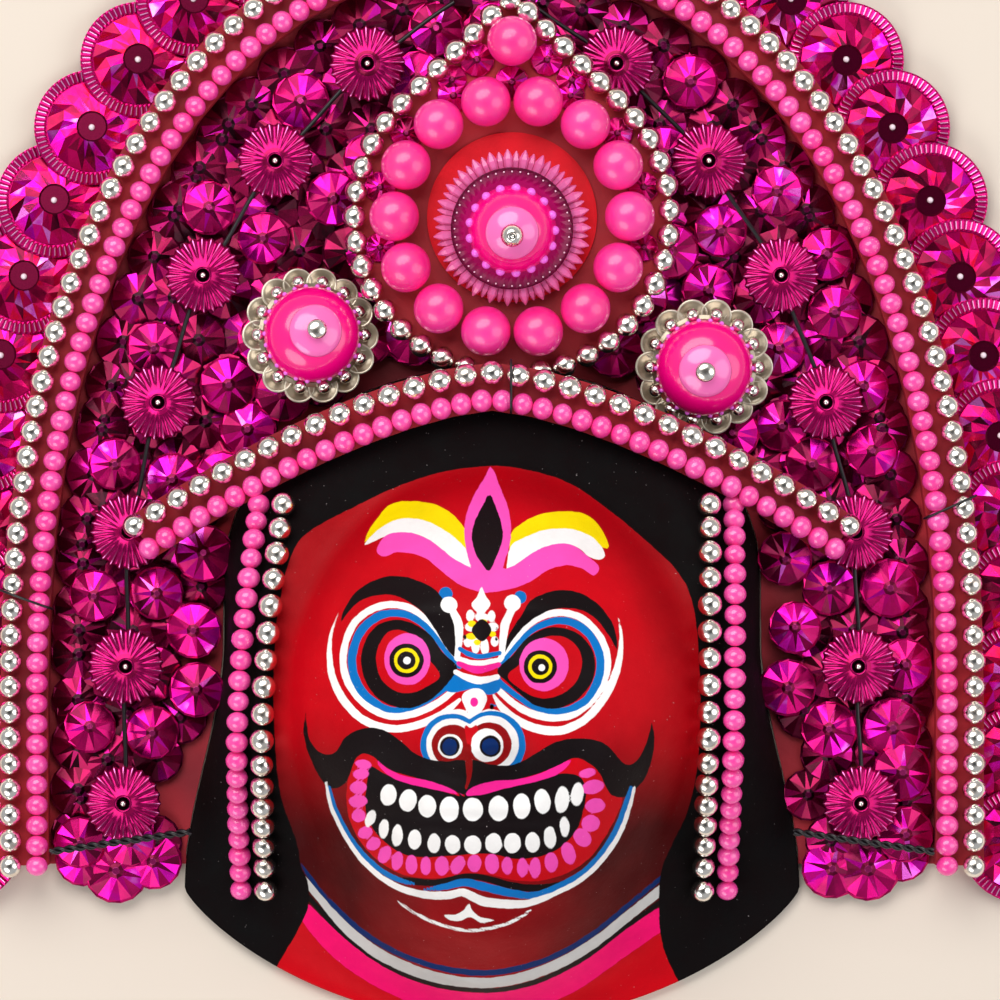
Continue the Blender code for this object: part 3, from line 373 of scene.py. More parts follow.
         (-30.3, 67.1), (-37.1, 67.8), (-42.9, 66.2), (-48.0, 63.9)),
        ("fill", (7.4, 62.1), (12.5, 65.5), (19.1, 68.3), (26.0, 69.4), (32.9, 68.9), (38.9, 66.7),
         (43.2, 62.8), (45.3, 58.7), (42.8, 57.0), (38.6, 58.3), (35.0, 61.4), (29.4, 63.2), (22.6, 62.1),
         (15.7, 58.7), (9.9, 55.2), (6.0, 52.2)),
    ),
    ("wing_pink", PAINT_PINK,
        ("fill", (-46.1, 60.0), (-44.5, 64.6), (-40.4, 67.4), (-33.7, 67.8), (-27.7, 66.2), (-22.0, 62.8),
         (-15.3, 57.3), (-9.6, 54.3), (-3.3, 50.8), (-3.3, 44.2), (-9.6, 45.6), (-15.3, 48.5),
         (-20.8, 52.9), (-25.7, 57.0), (-31.4, 59.3), (-38.3, 59.8), (-42.7, 58.2)),
        ("fill", (42.8, 54.3), (40.7, 50.6), (35.6, 53.6), (29.4, 54.7), (22.6, 52.9), (15.7, 48.5),
         (8.8, 45.6), (0.7, 44.0), (-3.8, 44.4), (-3.3, 50.8), (3.0, 52.6), (9.0, 54.7), (14.7, 58.7),
         (21.4, 62.2), (28.3, 63.4), (33.1, 62.4), (37.7, 58.7)),
        ("fill", (-0.3, 94.2), (3.0, 86.4), (6.0, 79.0), (7.5, 71.5), (7.2, 63.5), (5.1, 56.6),
         (3.0, 49.7), (-2.7, 47.4), (-7.9, 53.1), (-10.4, 61.8), (-11.0, 70.4), (-9.5, 77.2),
         (-6.4, 84.1), (-2.9, 89.9)),
    ),
    ("flame_core", BLACK,
        ("fill", (-1.0, 83.2), (1.9, 77.2), (4.0, 70.4), (4.1, 64.6), (2.0, 58.7), (-1.0, 52.6),
         (-4.1, 55.4), (-7.2, 60.9), (-8.1, 66.9), (-6.7, 72.7), (-3.7, 78.6)),
    ),
    ("nose_white", WHITE,
        ("spots", (-17.2, 38.9, 3.33, 3.33), (8.2, 39.6, 3.33, 3.33)),
        ("line", (-16.2, 37.3, 1.38), (-13.5, 31.3, 1.72), (-13.3, 24.4, 1.38), (-14.0, 17.6, 1.15)),
        ("line", (8.1, 37.1, 1.38), (5.3, 31.3, 1.72), (4.4, 24.4, 1.38), (3.7, 17.6, 1.15)),
        ("fill", (-4.2, 46.0), (-2.5, 42.2), (-0.6, 39.4), (-2.7, 35.9), (-4.1, 34.8), (-5.9, 35.9),
         (-8.2, 39.1), (-5.9, 42.2)),
        ("spots", (-8.7, 34.5, 1.61, 2.3), (-0.2, 34.5, 1.61, 2.3), (-8.4, 30.0, 2.3, 1.84),
         (0.3, 30.0, 2.3, 1.84), (-4.1, 33.9, 2.76, 1.84), (-6.6, 22.6, 1.72, 3.21),
         (-2.9, 22.1, 1.72, 3.44), (-9.6, 23.9, 1.61, 2.07), (1.0, 24.2, 1.61, 2.07)),
        ("line", (-14.0, 17.3, 1.03), (-8.4, 15.7, 1.15), (-3.8, 15.5, 1.15), (3.3, 16.9, 1.03)),
        ("line", (-14.6, 12.0, 0.92), (-9.6, 9.7, 1.38), (-4.4, 8.6, 1.49), (2.1, 10.0, 1.03)),
        ("fill", (-12.1, 2.1), (-8.4, 5.2), (-3.8, 4.7), (-2.0, 0.9), (-4.4, -4.3), (-7.1, -8.3),
         (-9.6, -4.3)),
        ("line", (-24.5, -8.3, 0.92), (-17.6, -4.8, 1.03), (-11.9, -4.3, 1.15), (-7.1, -8.8, 1.15)),
        ("line", (-7.1, -8.8, 1.15), (-2.7, -4.3, 1.15), (3.0, -4.8, 1.03), (9.9, -8.8, 0.92)),
    ),
    ("nose_blue", BLUE,
        ("line", (-12.8, 21.2, 0.92), (-8.4, 18.9, 1.03), (-4.1, 18.2, 1.03), (3.0, 19.6, 0.92)),
        ("line", (-0.4, -1.0, 0.46), (1.3, -1.5, 0.46)),
    ),
    ("nose_pink", HOT_PINK_PAINT,
        ("line", (-13.3, 15.5, 0.92), (-8.4, 13.4, 1.38), (-4.1, 13.0, 1.49), (2.6, 15.0, 1.03)),
        ("spots", (-7.1, 0.1, 1.61, 1.95)),
    ),
    ("nose_yellow", YELLOW,
        ("spots", (-8.0, 31.3, 1.72, 1.38), (-3.6, 32.2, 1.61, 0.92), (-8.4, 26.3, 2.07, 1.38),
         (0.2, 27.2, 1.38, 1.15), (-5.9, 23.8, 1.38, 1.15)),
    ),
    ("nose_black", BLACK,
        ("fill", (-4.1, 33.1), (-0.2, 29.0), (-3.8, 24.2), (-8.2, 28.6)),
        ("spots", (-10.9, 26.0, 0.69, 0.92), (1.9, 29.3, 0.57, 0.57), (1.7, 25.1, 0.57, 0.8)),
    ),
    ("nostril_blue", BLUE,
        ("spots", (-16.2, -17.1, 12.43, 12.43), (-0.1, -17.1, 13.5, 13.5)),
    ),
    ("nostril_white", WHITE,
        ("spots", (-15.8, -17.1, 10.5, 10.5), (-0.6, -16.8, 11.36, 11.36)),
    ),
    ("nostril_red", DEEP_RED,
        ("spots", (-15.8, -17.3, 8.36, 8.36), (-1.2, -17.1, 9.0, 9.0)),
    ),
    ("nostril_inner", WHITE,
        ("spots", (-16.7, -17.7, 4.93, 4.93), (-2.1, -17.3, 6.64, 6.64)),
    ),
    ("nostril_core", BLACK,
        ("spots", (-16.9, -17.7, 3.96, 3.96), (-0.7, -17.7, 4.29, 4.29)),
    ),
    ("nostril_navy", NAVY,
        ("spots", (-16.9, -17.9, 2.89, 3.32), (-0.7, -17.8, 3.32, 3.32)),
    ),
    ("nose_tip", PAINT_RED,
        ("fill", (-10.9, -9.3), (-8.6, -10.4), (-6.3, -9.2), (-5.6, -11.5), (-7.9, -14.2), (-8.5, -19.1),
         (-8.8, -27.5), (-9.6, -27.5), (-9.5, -19.0), (-10.6, -13.6)),
    ),
    ("mouth_black", BLACK,
        ("fill", (-74.6, -4.0), (-73.4, -13.6), (-70.2, -19.0), (-65.3, -21.1), (-61.7, -19.0),
         (-58.9, -14.3), (-53.7, -11.3), (-47.7, -10.2), (-41.7, -12.0), (-36.4, -15.8), (-31.0, -20.3),
         (-24.8, -23.1), (-18.2, -23.8), (-10.9, -23.3), (-9.6, -28.6), (-10.9, -36.7), (-16.2, -35.3),
         (-24.8, -32.1), (-34.4, -29.2), (-39.8, -27.6), (-44.1, -24.9), (-47.3, -22.0), (-51.6, -20.7),
         (-54.8, -23.3), (-56.7, -28.6), (-59.1, -32.9), (-63.4, -34.6), (-66.8, -32.9), (-70.9, -26.5),
         (-73.9, -19.2), (-75.4, -11.5)),
        ("fill", (-8.5, -23.3), (-1.2, -24.8), (6.3, -25.4), (11.9, -23.8), (18.1, -20.1), (24.7, -16.3),
         (32.0, -14.7), (39.7, -14.9), (46.1, -17.4), (50.4, -22.2), (53.6, -25.0), (56.9, -24.3),
         (59.9, -20.6), (62.4, -14.3), (64.0, -8.1), (64.9, -14.3), (64.1, -22.2), (61.6, -29.7),
         (57.7, -34.6), (53.4, -37.8), (48.1, -37.4), (45.4, -33.5), (43.1, -28.6), (39.5, -24.9),
         (33.1, -22.4), (26.6, -25.4), (18.1, -28.8), (8.4, -31.4), (-1.2, -33.1), (-7.7, -35.9),
         (-10.7, -37.2), (-9.8, -29.7)),
        ("fill", (-48.8, -25.6), (-41.9, -29.2), (-34.4, -31.3), (-24.8, -34.0), (-16.2, -36.7),
         (-10.9, -37.7), (-3.4, -36.1), (7.4, -34.0), (18.1, -31.3), (27.7, -28.6), (35.0, -29.9),
         (37.6, -35.3), (36.7, -42.8), (34.4, -50.1), (30.9, -54.9), (25.6, -59.2), (18.1, -62.1),
         (9.5, -62.7), (0.9, -61.0), (-5.5, -60.6), (-9.8, -61.0), (-18.4, -61.6), (-26.9, -62.1),
         (-35.5, -60.8), (-41.9, -56.7), (-47.3, -51.3), (-50.3, -44.7), (-50.7, -38.3), (-49.9, -31.0)),
        ("line", (-38.7, -70.2, 0.54), (-31.2, -71.7, 1.29), (-23.7, -72.3, 1.29), (-16.2, -71.1, 1.29),
         (-9.8, -69.8, 1.29), (-2.3, -70.6, 1.29), (7.4, -73.4, 1.5), (17.0, -74.5, 1.5),
         (26.6, -72.8, 0.86), (33.1, -69.9, 0.32)),
    ),
    ("lip_cleft", DEEP_RED,
        ("line", (-9.9, -18.5, 1.7), (-9.2, -25.0, 1.4), (-9.2, -30.0, 0.9), (-10.4, -34.5, 0.4)),
    ),
    ("lip_pink", HOT_PINK_PAINT,
        ("fill", (-46.4, -23.1), (-41.9, -26.5), (-35.5, -29.5), (-26.9, -31.2), (-18.4, -33.8),
         (-11.5, -37.3), (-16.2, -36.6), (-24.8, -34.6), (-33.4, -32.7), (-39.8, -30.3), (-44.1, -27.0)),
        ("fill", (-10.3, -37.3), (-7.7, -34.0), (0.9, -31.6), (9.5, -31.0), (18.1, -29.0), (25.6, -25.8),
         (31.6, -23.0), (28.8, -27.2), (22.4, -30.5), (13.8, -32.7), (5.2, -34.6), (-3.4, -36.9)),
    ),
    ("gum_petals", PAINT_PINK,
        ("spots", (-51.4, -24.9, 3.43, 1.82, -10), (-52.4, -28.8, 3.43, 2.04, 5),
         (-53.5, -34.2, 3.54, 2.46), (-53.6, -39.7, 3.75, 2.46), (-53.3, -45.5, 2.79, 2.57),
         (-50.7, -52.2, 3.0, 2.36, 20), (-47.4, -56.8, 3.0, 2.36, 30), (-42.9, -61.0, 2.36, 3.64, -25),
         (-37.9, -63.5, 2.25, 3.75, -12), (-32.2, -65.1, 2.36, 3.86), (-26.5, -65.6, 2.14, 3.64),
         (-20.1, -65.6, 2.79, 3.86), (-13.7, -65.2, 2.57, 3.86, -30), (-7.0, -64.5, 2.79, 3.54),
         (-0.1, -64.7, 2.79, 4.07), (6.1, -65.6, 2.14, 3.54), (12.2, -66.2, 2.14, 3.75),
         (17.3, -66.3, 2.25, 4.29), (23.7, -64.2, 2.68, 4.07, 5), (30.6, -60.5, 2.79, 4.5, 15),
         (36.1, -54.3, 3.21, 4.07, 40), (39.5, -48.5, 3.64, 3.32), (41.3, -41.5, 3.96, 2.89, 8),
         (40.4, -34.0, 4.5, 2.79, 12), (38.2, -28.4, 3.43, 1.82, 12)),
    ),
    ("teeth", WHITE,
        ("spots", (-41.4, -37.2, 3.21, 4.29, -8), (-33.6, -39.3, 3.43, 4.5, -12),
         (-25.9, -41.7, 3.54, 4.5), (-17.1, -42.9, 3.86, 5.04), (-7.7, -43.0, 4.07, 4.61),
         (2.6, -42.6, 3.96, 5.04), (11.9, -41.7, 3.43, 5.14), (20.2, -39.8, 3.21, 4.93, 6),
         (28.0, -39.1, 2.79, 5.36, -6), (34.1, -36.9, 2.46, 4.82, -6), (-48.6, -46.5, 1.93, 3.54, -22),
         (-43.3, -50.6, 2.04, 3.86, -8), (-37.9, -53.3, 2.25, 4.29, -5), (-30.9, -55.1, 2.68, 3.96),
         (-23.2, -56.5, 2.57, 3.86), (-15.7, -57.0, 3.11, 3.75), (-7.7, -57.2, 3.43, 3.75),
         (0.6, -56.5, 3.32, 4.07), (8.2, -56.5, 3.43, 4.07), (16.2, -56.2, 3.0, 4.07),
         (23.2, -54.3, 2.46, 4.5, 4), (29.0, -49.8, 1.93, 4.07, 3)),
    ),
    ("lip_blue", BLUE,
        ("line", (-65.3, -34.0, 0.75), (-62.8, -42.6, 0.96), (-57.8, -52.7, 1.07), (-51.0, -61.6, 1.07),
         (-43.0, -68.3, 1.07), (-35.5, -71.7, 0.96), (-31.2, -72.6, 0.54)),
        ("line", (-26.9, -75.1, 0.54), (-18.4, -73.8, 1.29), (-10.9, -72.1, 1.5), (-3.4, -73.8, 1.71),
         (7.4, -76.4, 1.61), (17.0, -77.3, 1.39), (26.6, -73.8, 1.29), (36.3, -68.3, 1.29),
         (43.8, -60.8, 1.29), (50.0, -50.6, 1.29), (54.1, -39.3, 1.07), (55.6, -34.2, 0.75)),
    ),
    ("lip_white", WHITE,
        ("line", (-66.4, -32.1, 0.54), (-64.4, -41.7, 0.75), (-59.3, -52.6, 0.86), (-52.9, -62.1, 0.96),
         (-45.4, -69.3, 1.07), (-36.6, -74.5, 1.29), (-26.9, -77.1, 1.5), (-18.4, -77.4, 1.61),
         (-12.5, -76.2, 1.5), (-9.8, -76.8, 1.61), (-3.4, -79.8, 1.82), (7.4, -80.9, 1.71),
         (15.9, -80.1, 1.39), (26.6, -76.0, 0.96), (36.3, -70.6, 0.96), (44.0, -63.1, 0.96),
         (51.1, -52.6, 0.96), (55.1, -41.7, 0.75), (56.9, -34.2, 0.54)),
        ("fill", (-19.2, -85.2), (-14.6, -85.0), (-11.1, -83.1), (-9.4, -80.3), (-8.1, -83.1),
         (-4.4, -86.1), (0.9, -87.2), (-4.4, -88.3), (-8.7, -86.0), (-12.8, -87.6), (-17.1, -87.1)),
        ("line", (-37.9, -79.4, 0.4), (-31.2, -84.3, 0.62), (-22.7, -88.3, 0.65), (-11.9, -91.2, 0.65),
         (-3.4, -91.0, 0.65), (5.2, -88.9, 0.62), (11.6, -86.0, 0.58), (15.5, -83.1, 0.4)),
    ),
)
FAR = 4 * MM
CURVE_STEPS = 5
EDGE_SOFTNESS = 0.16 * MM
EDGE_WAVER = 0.22 * MM


def smooth_curve(points, closed):
    """Points along a Catmull-Rom curve through the given ones, with any widths carried along."""
    points = np.array(points, dtype=float)
    if closed:
        before, after, last = np.roll(points, 1, 0), np.roll(points, -1, 0), np.roll(points, -2, 0)
    else:
        padded = np.vstack((points[0], points, points[-1]))
        before, points, after, last = padded[:-3], padded[1:-2], padded[2:-1], padded[3:]
    share = (np.arange(CURVE_STEPS) / CURVE_STEPS)[None, :, None]
    before, here, after, last = (each[:, None, :] for each in (before, points, after, last))
    curve = 0.5 * (
        2 * here
        + (after - before) * share
        + (2 * before - 5 * here + 4 * after - last) * share**2
        + (3 * here - before - 3 * after + last) * share**3
    )
    curve = curve.reshape(-1, points.shape[-1])
    return curve if closed else np.vstack((curve, after[-1]))


def segment_distances(x, y, curve):
    """Distance from each point to each piece of a line, and how far along that piece it is."""
    start, end = curve[:-1], curve[1:]
    run = end[:, :2] - start[:, :2]
    length = np.maximum((run**2).sum(1), 1e-12)
    from_x = x[:, None] - start[None, :, 0]
    from_y = y[:, None] - start[None, :, 1]
    share = np.clip((from_x * run[:, 0] + from_y * run[:, 1]) / length, 0, 1)
    return np.hypot(from_x - share * run[:, 0], from_y - share * run[:, 1]), share


def inside_curve(x, y, curve):
    crossings = np.zeros(len(x), dtype=int)
    for (ax, ay), (bx, by) in zip(curve[:-1, :2], curve[1:, :2]):
        spans = (ay > y) != (by > y)
        reach = ax + (y - ay) * (bx - ax) / (by - ay if by != ay else 1e-12)
        crossings += spans & (x < reach)
    return crossings % 2 == 1


def shape_distance(kind, data, x, y):
    """Distance outside a painted shape, negative inside it, in millimetres."""
    if kind == "spots":
        centre_x, centre_y, radius_x, radius_y = data[:4]
        turn = math.radians(data[4]) if len(data) > 4 else 0
        across = (x - centre_x) * math.cos(turn) + (y - centre_y) * math.sin(turn)
        along = (y - centre_y) * math.cos(turn) - (x - centre_x) * math.sin(turn)
        return (np.hypot(across / radius_x, along / radius_y) - 1) * min(radius_x, radius_y)
    if kind == "rings":
        return np.abs(np.hypot(x - data[0], y - data[1]) - data[2]) - data[3]
    if kind == "line":
        curve = smooth_curve(data, closed=False)
        distance, share = segment_distances(x, y, curve)
        half_width = curve[:-1, 2] + share * (curve[1:, 2] - curve[:-1, 2])
        return (distance - half_width).min(1)
    curve = smooth_curve(data, closed=True)
    curve = np.vstack((curve, curve[:1]))
    distance = segment_distances(x, y, curve)[0].min(1)
    signed = np.where(inside_curve(x, y, curve), -distance, distance)
    return -signed if kind == "outside" else signed


def layer_distance(shapes, x, y):
    """Distance to the nearest shape of a layer, in metres, no more than FAR."""
    margin = FAR / MM
    best = np.full(len(x), margin)
    for kind, *points in shapes:
        many = kind in ("spots", "rings")
        for data in points if many else [points]:
            if kind == "outside":
                near = np.ones(len(x), dtype=bool)
            elif many:
                reach = margin + max(data[2:4])
                near = (abs(x - data[0]) < reach) & (abs(y - data[1]) < reach)
            else:
                given = np.array(data, dtype=float)
                reach = margin + (given[:, 2].max() if kind == "line" else 0)
                low, high = given[:, :2].min(0) - reach, given[:, :2].max(0) + reach
                near = (x > low[0]) & (x < high[0]) & (y > low[1]) & (y < high[1])
            best[near] = np.minimum(best[near], shape_distance(kind, data, x[near], y[near]))
    return best * MM


def feed(tree, socket, value):
    """Sets a socket to a plain value, or links it to the output of a node."""
    if isinstance(value, bpy.types.NodeSocket):
        tree.links.new(value, socket)
    else:
        socket.default_value = value


def grow(tree, kind, inputs=(), **settings):
    """A new node with its settings, its inputs fed by name or by number."""
    node = tree.nodes.new(kind)
    for word, value in settings.items():
        setattr(node, word, value)
    for word, value in dict(inputs).items():
        feed(tree, node.inputs[word], value)
    return node


def new_material(name, **finish):
    """A new material and its node tree."""
    made = bpy.data.materials.new(name)
    made.use_nodes = True
    dress(made.node_tree, **finish)
    return made, made.node_tree


def dress(tree, **finish):
    """Feeds the shader's inputs, which are named in small letters here."""
    shader = tree.nodes["Principled BSDF"]
    for word, value in finish.items():
        title = "Specular IOR Level" if word == "specular" else word.replace("_", " ").title()
        feed(tree, shader.inputs[title], value)


def plain(name, red, green, blue, **finish):
    """A material of one colour."""
    return new_material(name, base_color=from_screen(red, green, blue), **finish)[0]


def noise(tree, scale, detail=2.0, roughness=0.5):
    """Noise on the piece's own coordinates."""
    place = grow(tree, "ShaderNodeTexCoord").outputs["Object"]
    inputs = {"Vector": place, "Scale": scale, "Detail": detail, "Roughness": roughness}
    return grow(tree, "ShaderNodeTexNoise", inputs).outputs["Fac"]


def math_node(tree, operation, first, second):
    return grow(tree, "ShaderNodeMath", {0: first, 1: second}, operation=operation).outputs[0]


def map_range(tree, value, low, high, to_low=0.0, to_high=1.0):
    inputs = {"Value": value, "From Min": low, "From Max": high, "To Min": to_low, "To Max": to_high}
    return grow(tree, "ShaderNodeMapRange", inputs).outputs["Result"]


def mix_colour(tree, share, first, second):
    return grow(tree, "ShaderNodeMix", {0: share, 6: first, 7: second}, data_type="RGBA").outputs[2]


def mottled(tree, scale, detail, first, second, low=0.35, high=0.7):
    """Two colours that run into each other in soft patches."""
    return mix_colour(tree, map_range(tree, noise(tree, scale, detail), low, high), first, second)


def add_bump(tree, height, strength, distance):
    inputs = {"Height": height, "Strength": strength, "Distance": distance}
    dress(tree, normal=grow(tree, "ShaderNodeBump", inputs).outputs["Normal"])


def attribute(tree, name):
    return grow(tree, "ShaderNodeAttribute", attribute_name=name).outputs["Fac"]


def enamel():
    """Brushed gloss enamel: one mix for each painted layer, over red darkened with maroon, partly spray and
    partly painted shade.
    """
    made, tree = new_material("painted enamel", specular=0.09)
    waver = map_range(tree, noise(tree, 260, 3), 0.2, 0.8, -EDGE_WAVER, EDGE_WAVER)
    patches = map_range(tree, noise(tree, 24, 4), 0.3, 0.7, -0.07, 0.07)
    # Darker towards the jaw and the hair: partly sprayed maroon, partly painted shade.
    shade = math_node(tree, "ADD", attribute(tree, "jaw_shade"), patches)
    colour = mix_colour(tree, shade, PAINT_RED, JAW_MAROON)
    for name, tint, *_ in PAINT_LAYERS:
        edge = math_node(tree, "ADD", attribute(tree, name), waver)
        inside = map_range(tree, edge, EDGE_SOFTNESS, -EDGE_SOFTNESS)
        colour = mix_colour(tree, inside, colour, tint)
        if name == "hair":
            hair = inside
    streaks = noise(tree, 55, 5, 0.6)
    streak_share = map_range(tree, streaks, 0.35, 0.75, 0.0, 0.16)
    colour = mix_colour(tree, streak_share, colour, from_screen(40, 6, 12))
    specks = map_range(tree, noise(tree, 900, 2), 0.745, 0.80, 0.0, 0.5)
    colour = mix_colour(tree, specks, colour, from_screen(215, 205, 205))
    gloss = map_range(tree, streaks, 0.3, 0.7, 0.42, 0.6)
    duller = math_node(tree, "MULTIPLY", hair, 0.25)
    dress(tree, base_color=colour, roughness=math_node(tree, "ADD", gloss, duller))
    add_bump(tree, noise(tree, 420, 6, 0.65), 0.25, 0.6 * MM)
    return made


def raw_paper():
    """The unpainted inside: layers of torn brown paper and paste."""
    made, tree = new_material("raw pasted paper", roughness=0.85)
    place = grow(tree, "ShaderNodeTexCoord").outputs["Object"]
    torn = grow(tree, "ShaderNodeTexVoronoi", {"Vector": place, "Scale": 38}).outputs["Distance"]
    tone = math_node(tree, "ADD", map_range(tree, torn, 0, 0.8, 0, 0.5), noise(tree, 300, 5))
    share = map_range(tree, tone, 0.3, 1.2)
    dress(tree, base_color=mix_colour(tree, share, from_screen(150, 122, 88), from_screen(192, 168, 128)))
    add_bump(tree, tone, 0.6, 0.8 * MM)
    return made


SEEN_FROM = 3.0
SEEN_X = 3.2 * MM
SEEN_Y = -30.5 * MM
SHARP_HEIGHT = 30 * MM
verts, faces = shell_rings()
low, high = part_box("face_shell")
verts[:, 1] = np.maximum(verts[:, 1], low[1])
verts[:, 2] *= high[2] / verts[:, 2].max()
shell = make_object("mask_shell", verts.tolist(), faces, enamel())
shell.data.materials.append(raw_paper())
shell.data.shade_smooth()
outer_count = SHELL_SECTORS * (FACE_STEPS + HAIR_STEPS + 1)
top_point = len(verts) - 2
painted = np.zeros(len(verts), dtype=bool)
painted[:outer_count] = True
painted[top_point] = True
# The figures were read from a photograph, which shows what is nearer a little larger.
closer = (SEEN_FROM - SHARP_HEIGHT) / (SEEN_FROM - verts[painted, 2])
face_x = (SEEN_X + (verts[painted, 0] - SEEN_X) * closer) / MM
face_y = (SEEN_Y + (verts[painted, 1] - SEEN_Y) * closer - FACE_Y) / MM


def store(mesh, name, values):
    layer = mesh.attributes.new(name, "FLOAT", "POINT")
    layer.data.foreach_set("value", np.asarray(values, dtype=np.float32))


for name, _, *shapes in PAINT_LAYERS:
    values = np.full(len(verts), FAR)
    values[painted] = layer_distance(shapes, face_x, face_y)
    store(shell.data, name, values)
# The maroon deepens down the jaw and out to the cheeks, and more faintly along the hair: partly a
# darker spray, partly painted shade where the face turns away.
jaw_shade = np.zeros(len(verts))
cheek_spray_and_shade = smoothstep(8, -62, face_y) * (0.55 + 0.45 * smoothstep(10, 60, np.abs(face_x + 7)))
rim_spray_and_shade = 0.4 * smoothstep(66, 84, np.hypot(face_x + 5, face_y * 0.95)) * smoothstep(-20, 10, face_y)
jaw_shade[painted] = np.clip(cheek_spray_and_shade * 1.05 + rim_spray_and_shade, 0, 1)
store(shell.data, "jaw_shade", jaw_shade)
for face in shell.data.polygons:
    if min(face.vertices) >= outer_count - SHELL_SECTORS and top_point not in face.vertices:
        face.material_index = 1
finish_piece(shell, "face_paint", "face_shell")

# The card. A flat board backs the whole headdress, a raised strip along its edge carries the band of
# beads, and a ribbon and a teardrop carry the brow and the crest. All are covered in red cloth paper.
def covered_card(name, light, dark):
    made, tree = new_material(name, roughness=0.6)
    dress(tree, base_color=mottled(tree, 22, 3, light, dark))
    add_bump(tree, noise(tree, 180, 5, 0.6), 0.5, 0.5 * MM)
    return made


red_card = covered_card("red card", from_screen(176, 20, 40), from_screen(128, 10, 34))
rose_card = covered_card("rose card", from_screen(186, 40, 52), from_screen(146, 22, 40))
for node in ("backing_board", "band_strip", "brow_strip", "crest_card"):
    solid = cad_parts[node]
    solid.data.materials.clear()
    solid.data.materials.append(rose_card if node == "crest_card" else red_card)

# The strung beads. Round beads of pink plastic and silvered glass are threaded on cord and sewn down
# in pairs: over the arch, over the brow, down both sides of the face, and round the crest.
SPRING_Y = -110.3 * MM
FOOT_Y = -177.3 * MM
ARCH_HALF_WIDTH = 188 * MM
ARCH_RISE = 303 * MM
ARCH_POWER = 2.2
STRIP_HALF_WIDTH = 9.6 * MM
STRIP_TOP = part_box("band_strip")[1][2]
TOUCH = 0.3 * MM
SILVER_RADIUS = 4.8 * MM
SILVER_PITCH = 10.2 * MM
PINK_RADIUS = 4.5 * MM
PINK_PITCH = 8.1 * MM
PINK_SQUASH = 0.92
STRING_SPACING = 10.8 * MM


def arch(offset, foot_y, count):
    """Points along the arch moved outwards by offset, from the left foot over the crown."""
    turn = np.linspace(math.pi, 0, count + 1)
    cosine, sine = np.cos(turn), np.abs(np.sin(turn))
    wide, high = ARCH_HALF_WIDTH + offset, ARCH_RISE + offset
    x = wide * np.sign(cosine) * np.abs(cosine) ** (2 / ARCH_POWER)
    y = SPRING_Y + high * sine ** (2 / ARCH_POWER)
    return np.vstack(((-wide, foot_y), np.column_stack((x, y)), (wide, foot_y)))


def at_height(points, z):
    return np.column_stack((points, np.full(len(points), z)))


def new_tree(name, inputs):
    """An empty geometry tree with the named inputs, and the sockets that hand them in."""
    tree = bpy.data.node_groups.new(name, "GeometryNodeTree")
    tree.interface.new_socket("Geometry", in_out="INPUT", socket_type="NodeSocketGeometry")
    tree.interface.new_socket("Geometry", in_out="OUTPUT", socket_type="NodeSocketGeometry")
    for title, kind in inputs.items():
        tree.interface.new_socket(title, in_out="INPUT", socket_type=f"NodeSocket{kind}")
    return tree, grow(tree, "NodeGroupInput").outputs


def end_tree(tree, given, geometry, smooth=False):
    """Makes a tree's copies real, gives them the finish and hands them out."""
    made = grow(tree, "GeometryNodeRealizeInstances", {"Geometry": geometry})
    if smooth:
        made = grow(tree, "GeometryNodeSetShadeSmooth", {"Geometry": made.outputs["Geometry"]})
    inputs = {"Geometry": made.outputs["Geometry"], "Material": given["Finish"]}
    made = grow(tree, "GeometryNodeSetMaterial", inputs)
    grow(tree, "NodeGroupOutput", {"Geometry": made.outputs["Geometry"]})
    return tree


def strung_beads():
    """Places beads along a curve by pitch, turned so that each one's hole follows the cord."""
    kinds = {"Radius": "Float", "Pitch": "Float", "Squash": "Float", "Finish": "Material", "Seed": "Int"}
    tree, given = new_tree("strung beads", kinds)
    inputs = {"Curve": given["Geometry"], "Length": given["Pitch"]}
    points = grow(tree, "GeometryNodeCurveToPoints", inputs, mode="LENGTH").outputs
    inputs = {"Segments": 14, "Rings": 9, "Radius": given["Radius"]}
    bead = grow(tree, "GeometryNodeMeshUVSphere", inputs).outputs["Mesh"]
    uneven = grow(tree, "FunctionNodeRandomValue", {2: 0.96, 3: 1.03, "Seed": given["Seed"]}).outputs[1]
    long = math_node(tree, "MULTIPLY", uneven, given["Squash"])
    scale = grow(tree, "ShaderNodeCombineXYZ", {"X": uneven, "Y": uneven, "Z": long}).outputs["Vector"]
    inputs = {
        "Points": points["Points"], "Rotation": points["Rotation"], "Instance": bead, "Scale": scale,
    }
    strung = grow(tree, "GeometryNodeInstanceOnPoints", inputs).outputs["Instances"]
    return end_tree(tree, given, strung, smooth=True)


def run_tree(source, tree, name, values):
    """Runs a geometry tree on an object and keeps the result as a plain mesh object."""
    modifier = source.modifiers.new("tree", "NODES")
    modifier.node_group = tree
    for item in tree.interface.items_tree:
        if item.in_out == "INPUT" and item.name in values:
            modifier[item.identifier] = values[item.name]
    source.update_tag()
    graph = bpy.context.evaluated_depsgraph_get()
    mesh = bpy.data.meshes.new_from_object(source.evaluated_get(graph))
    mesh.name = name
    bpy.data.objects.remove(source)
    return in_scene(name, mesh)


def path_curve(points, closed=False):
    curve = bpy.data.curves.new("path", "CURVE")
    curve.dimensions = "3D"
    spline = curve.splines.new("POLY")
    spline.points.add(len(points) - 1)
    for point, place in zip(spline.points, points):
        point.co = (*place, 1)
    spline.use_cyclic_u = closed
    return in_scene("path", curve)


def silvered():
    """Silvered glass beads: a bright coat, worn warm and a little rough in patches."""
    made, tree = new_material("silvered bead", metallic=1.0)
    worn = noise(tree, 240, 3)
    share = map_range(tree, worn, 0.45, 0.75)
    colour = mix_colour(tree, share, from_screen(250, 246, 238), from_screen(214, 198, 184))
    dress(tree, base_color=colour, roughness=map_range(tree, worn, 0.3, 0.8, 0.14, 0.28))
    return made


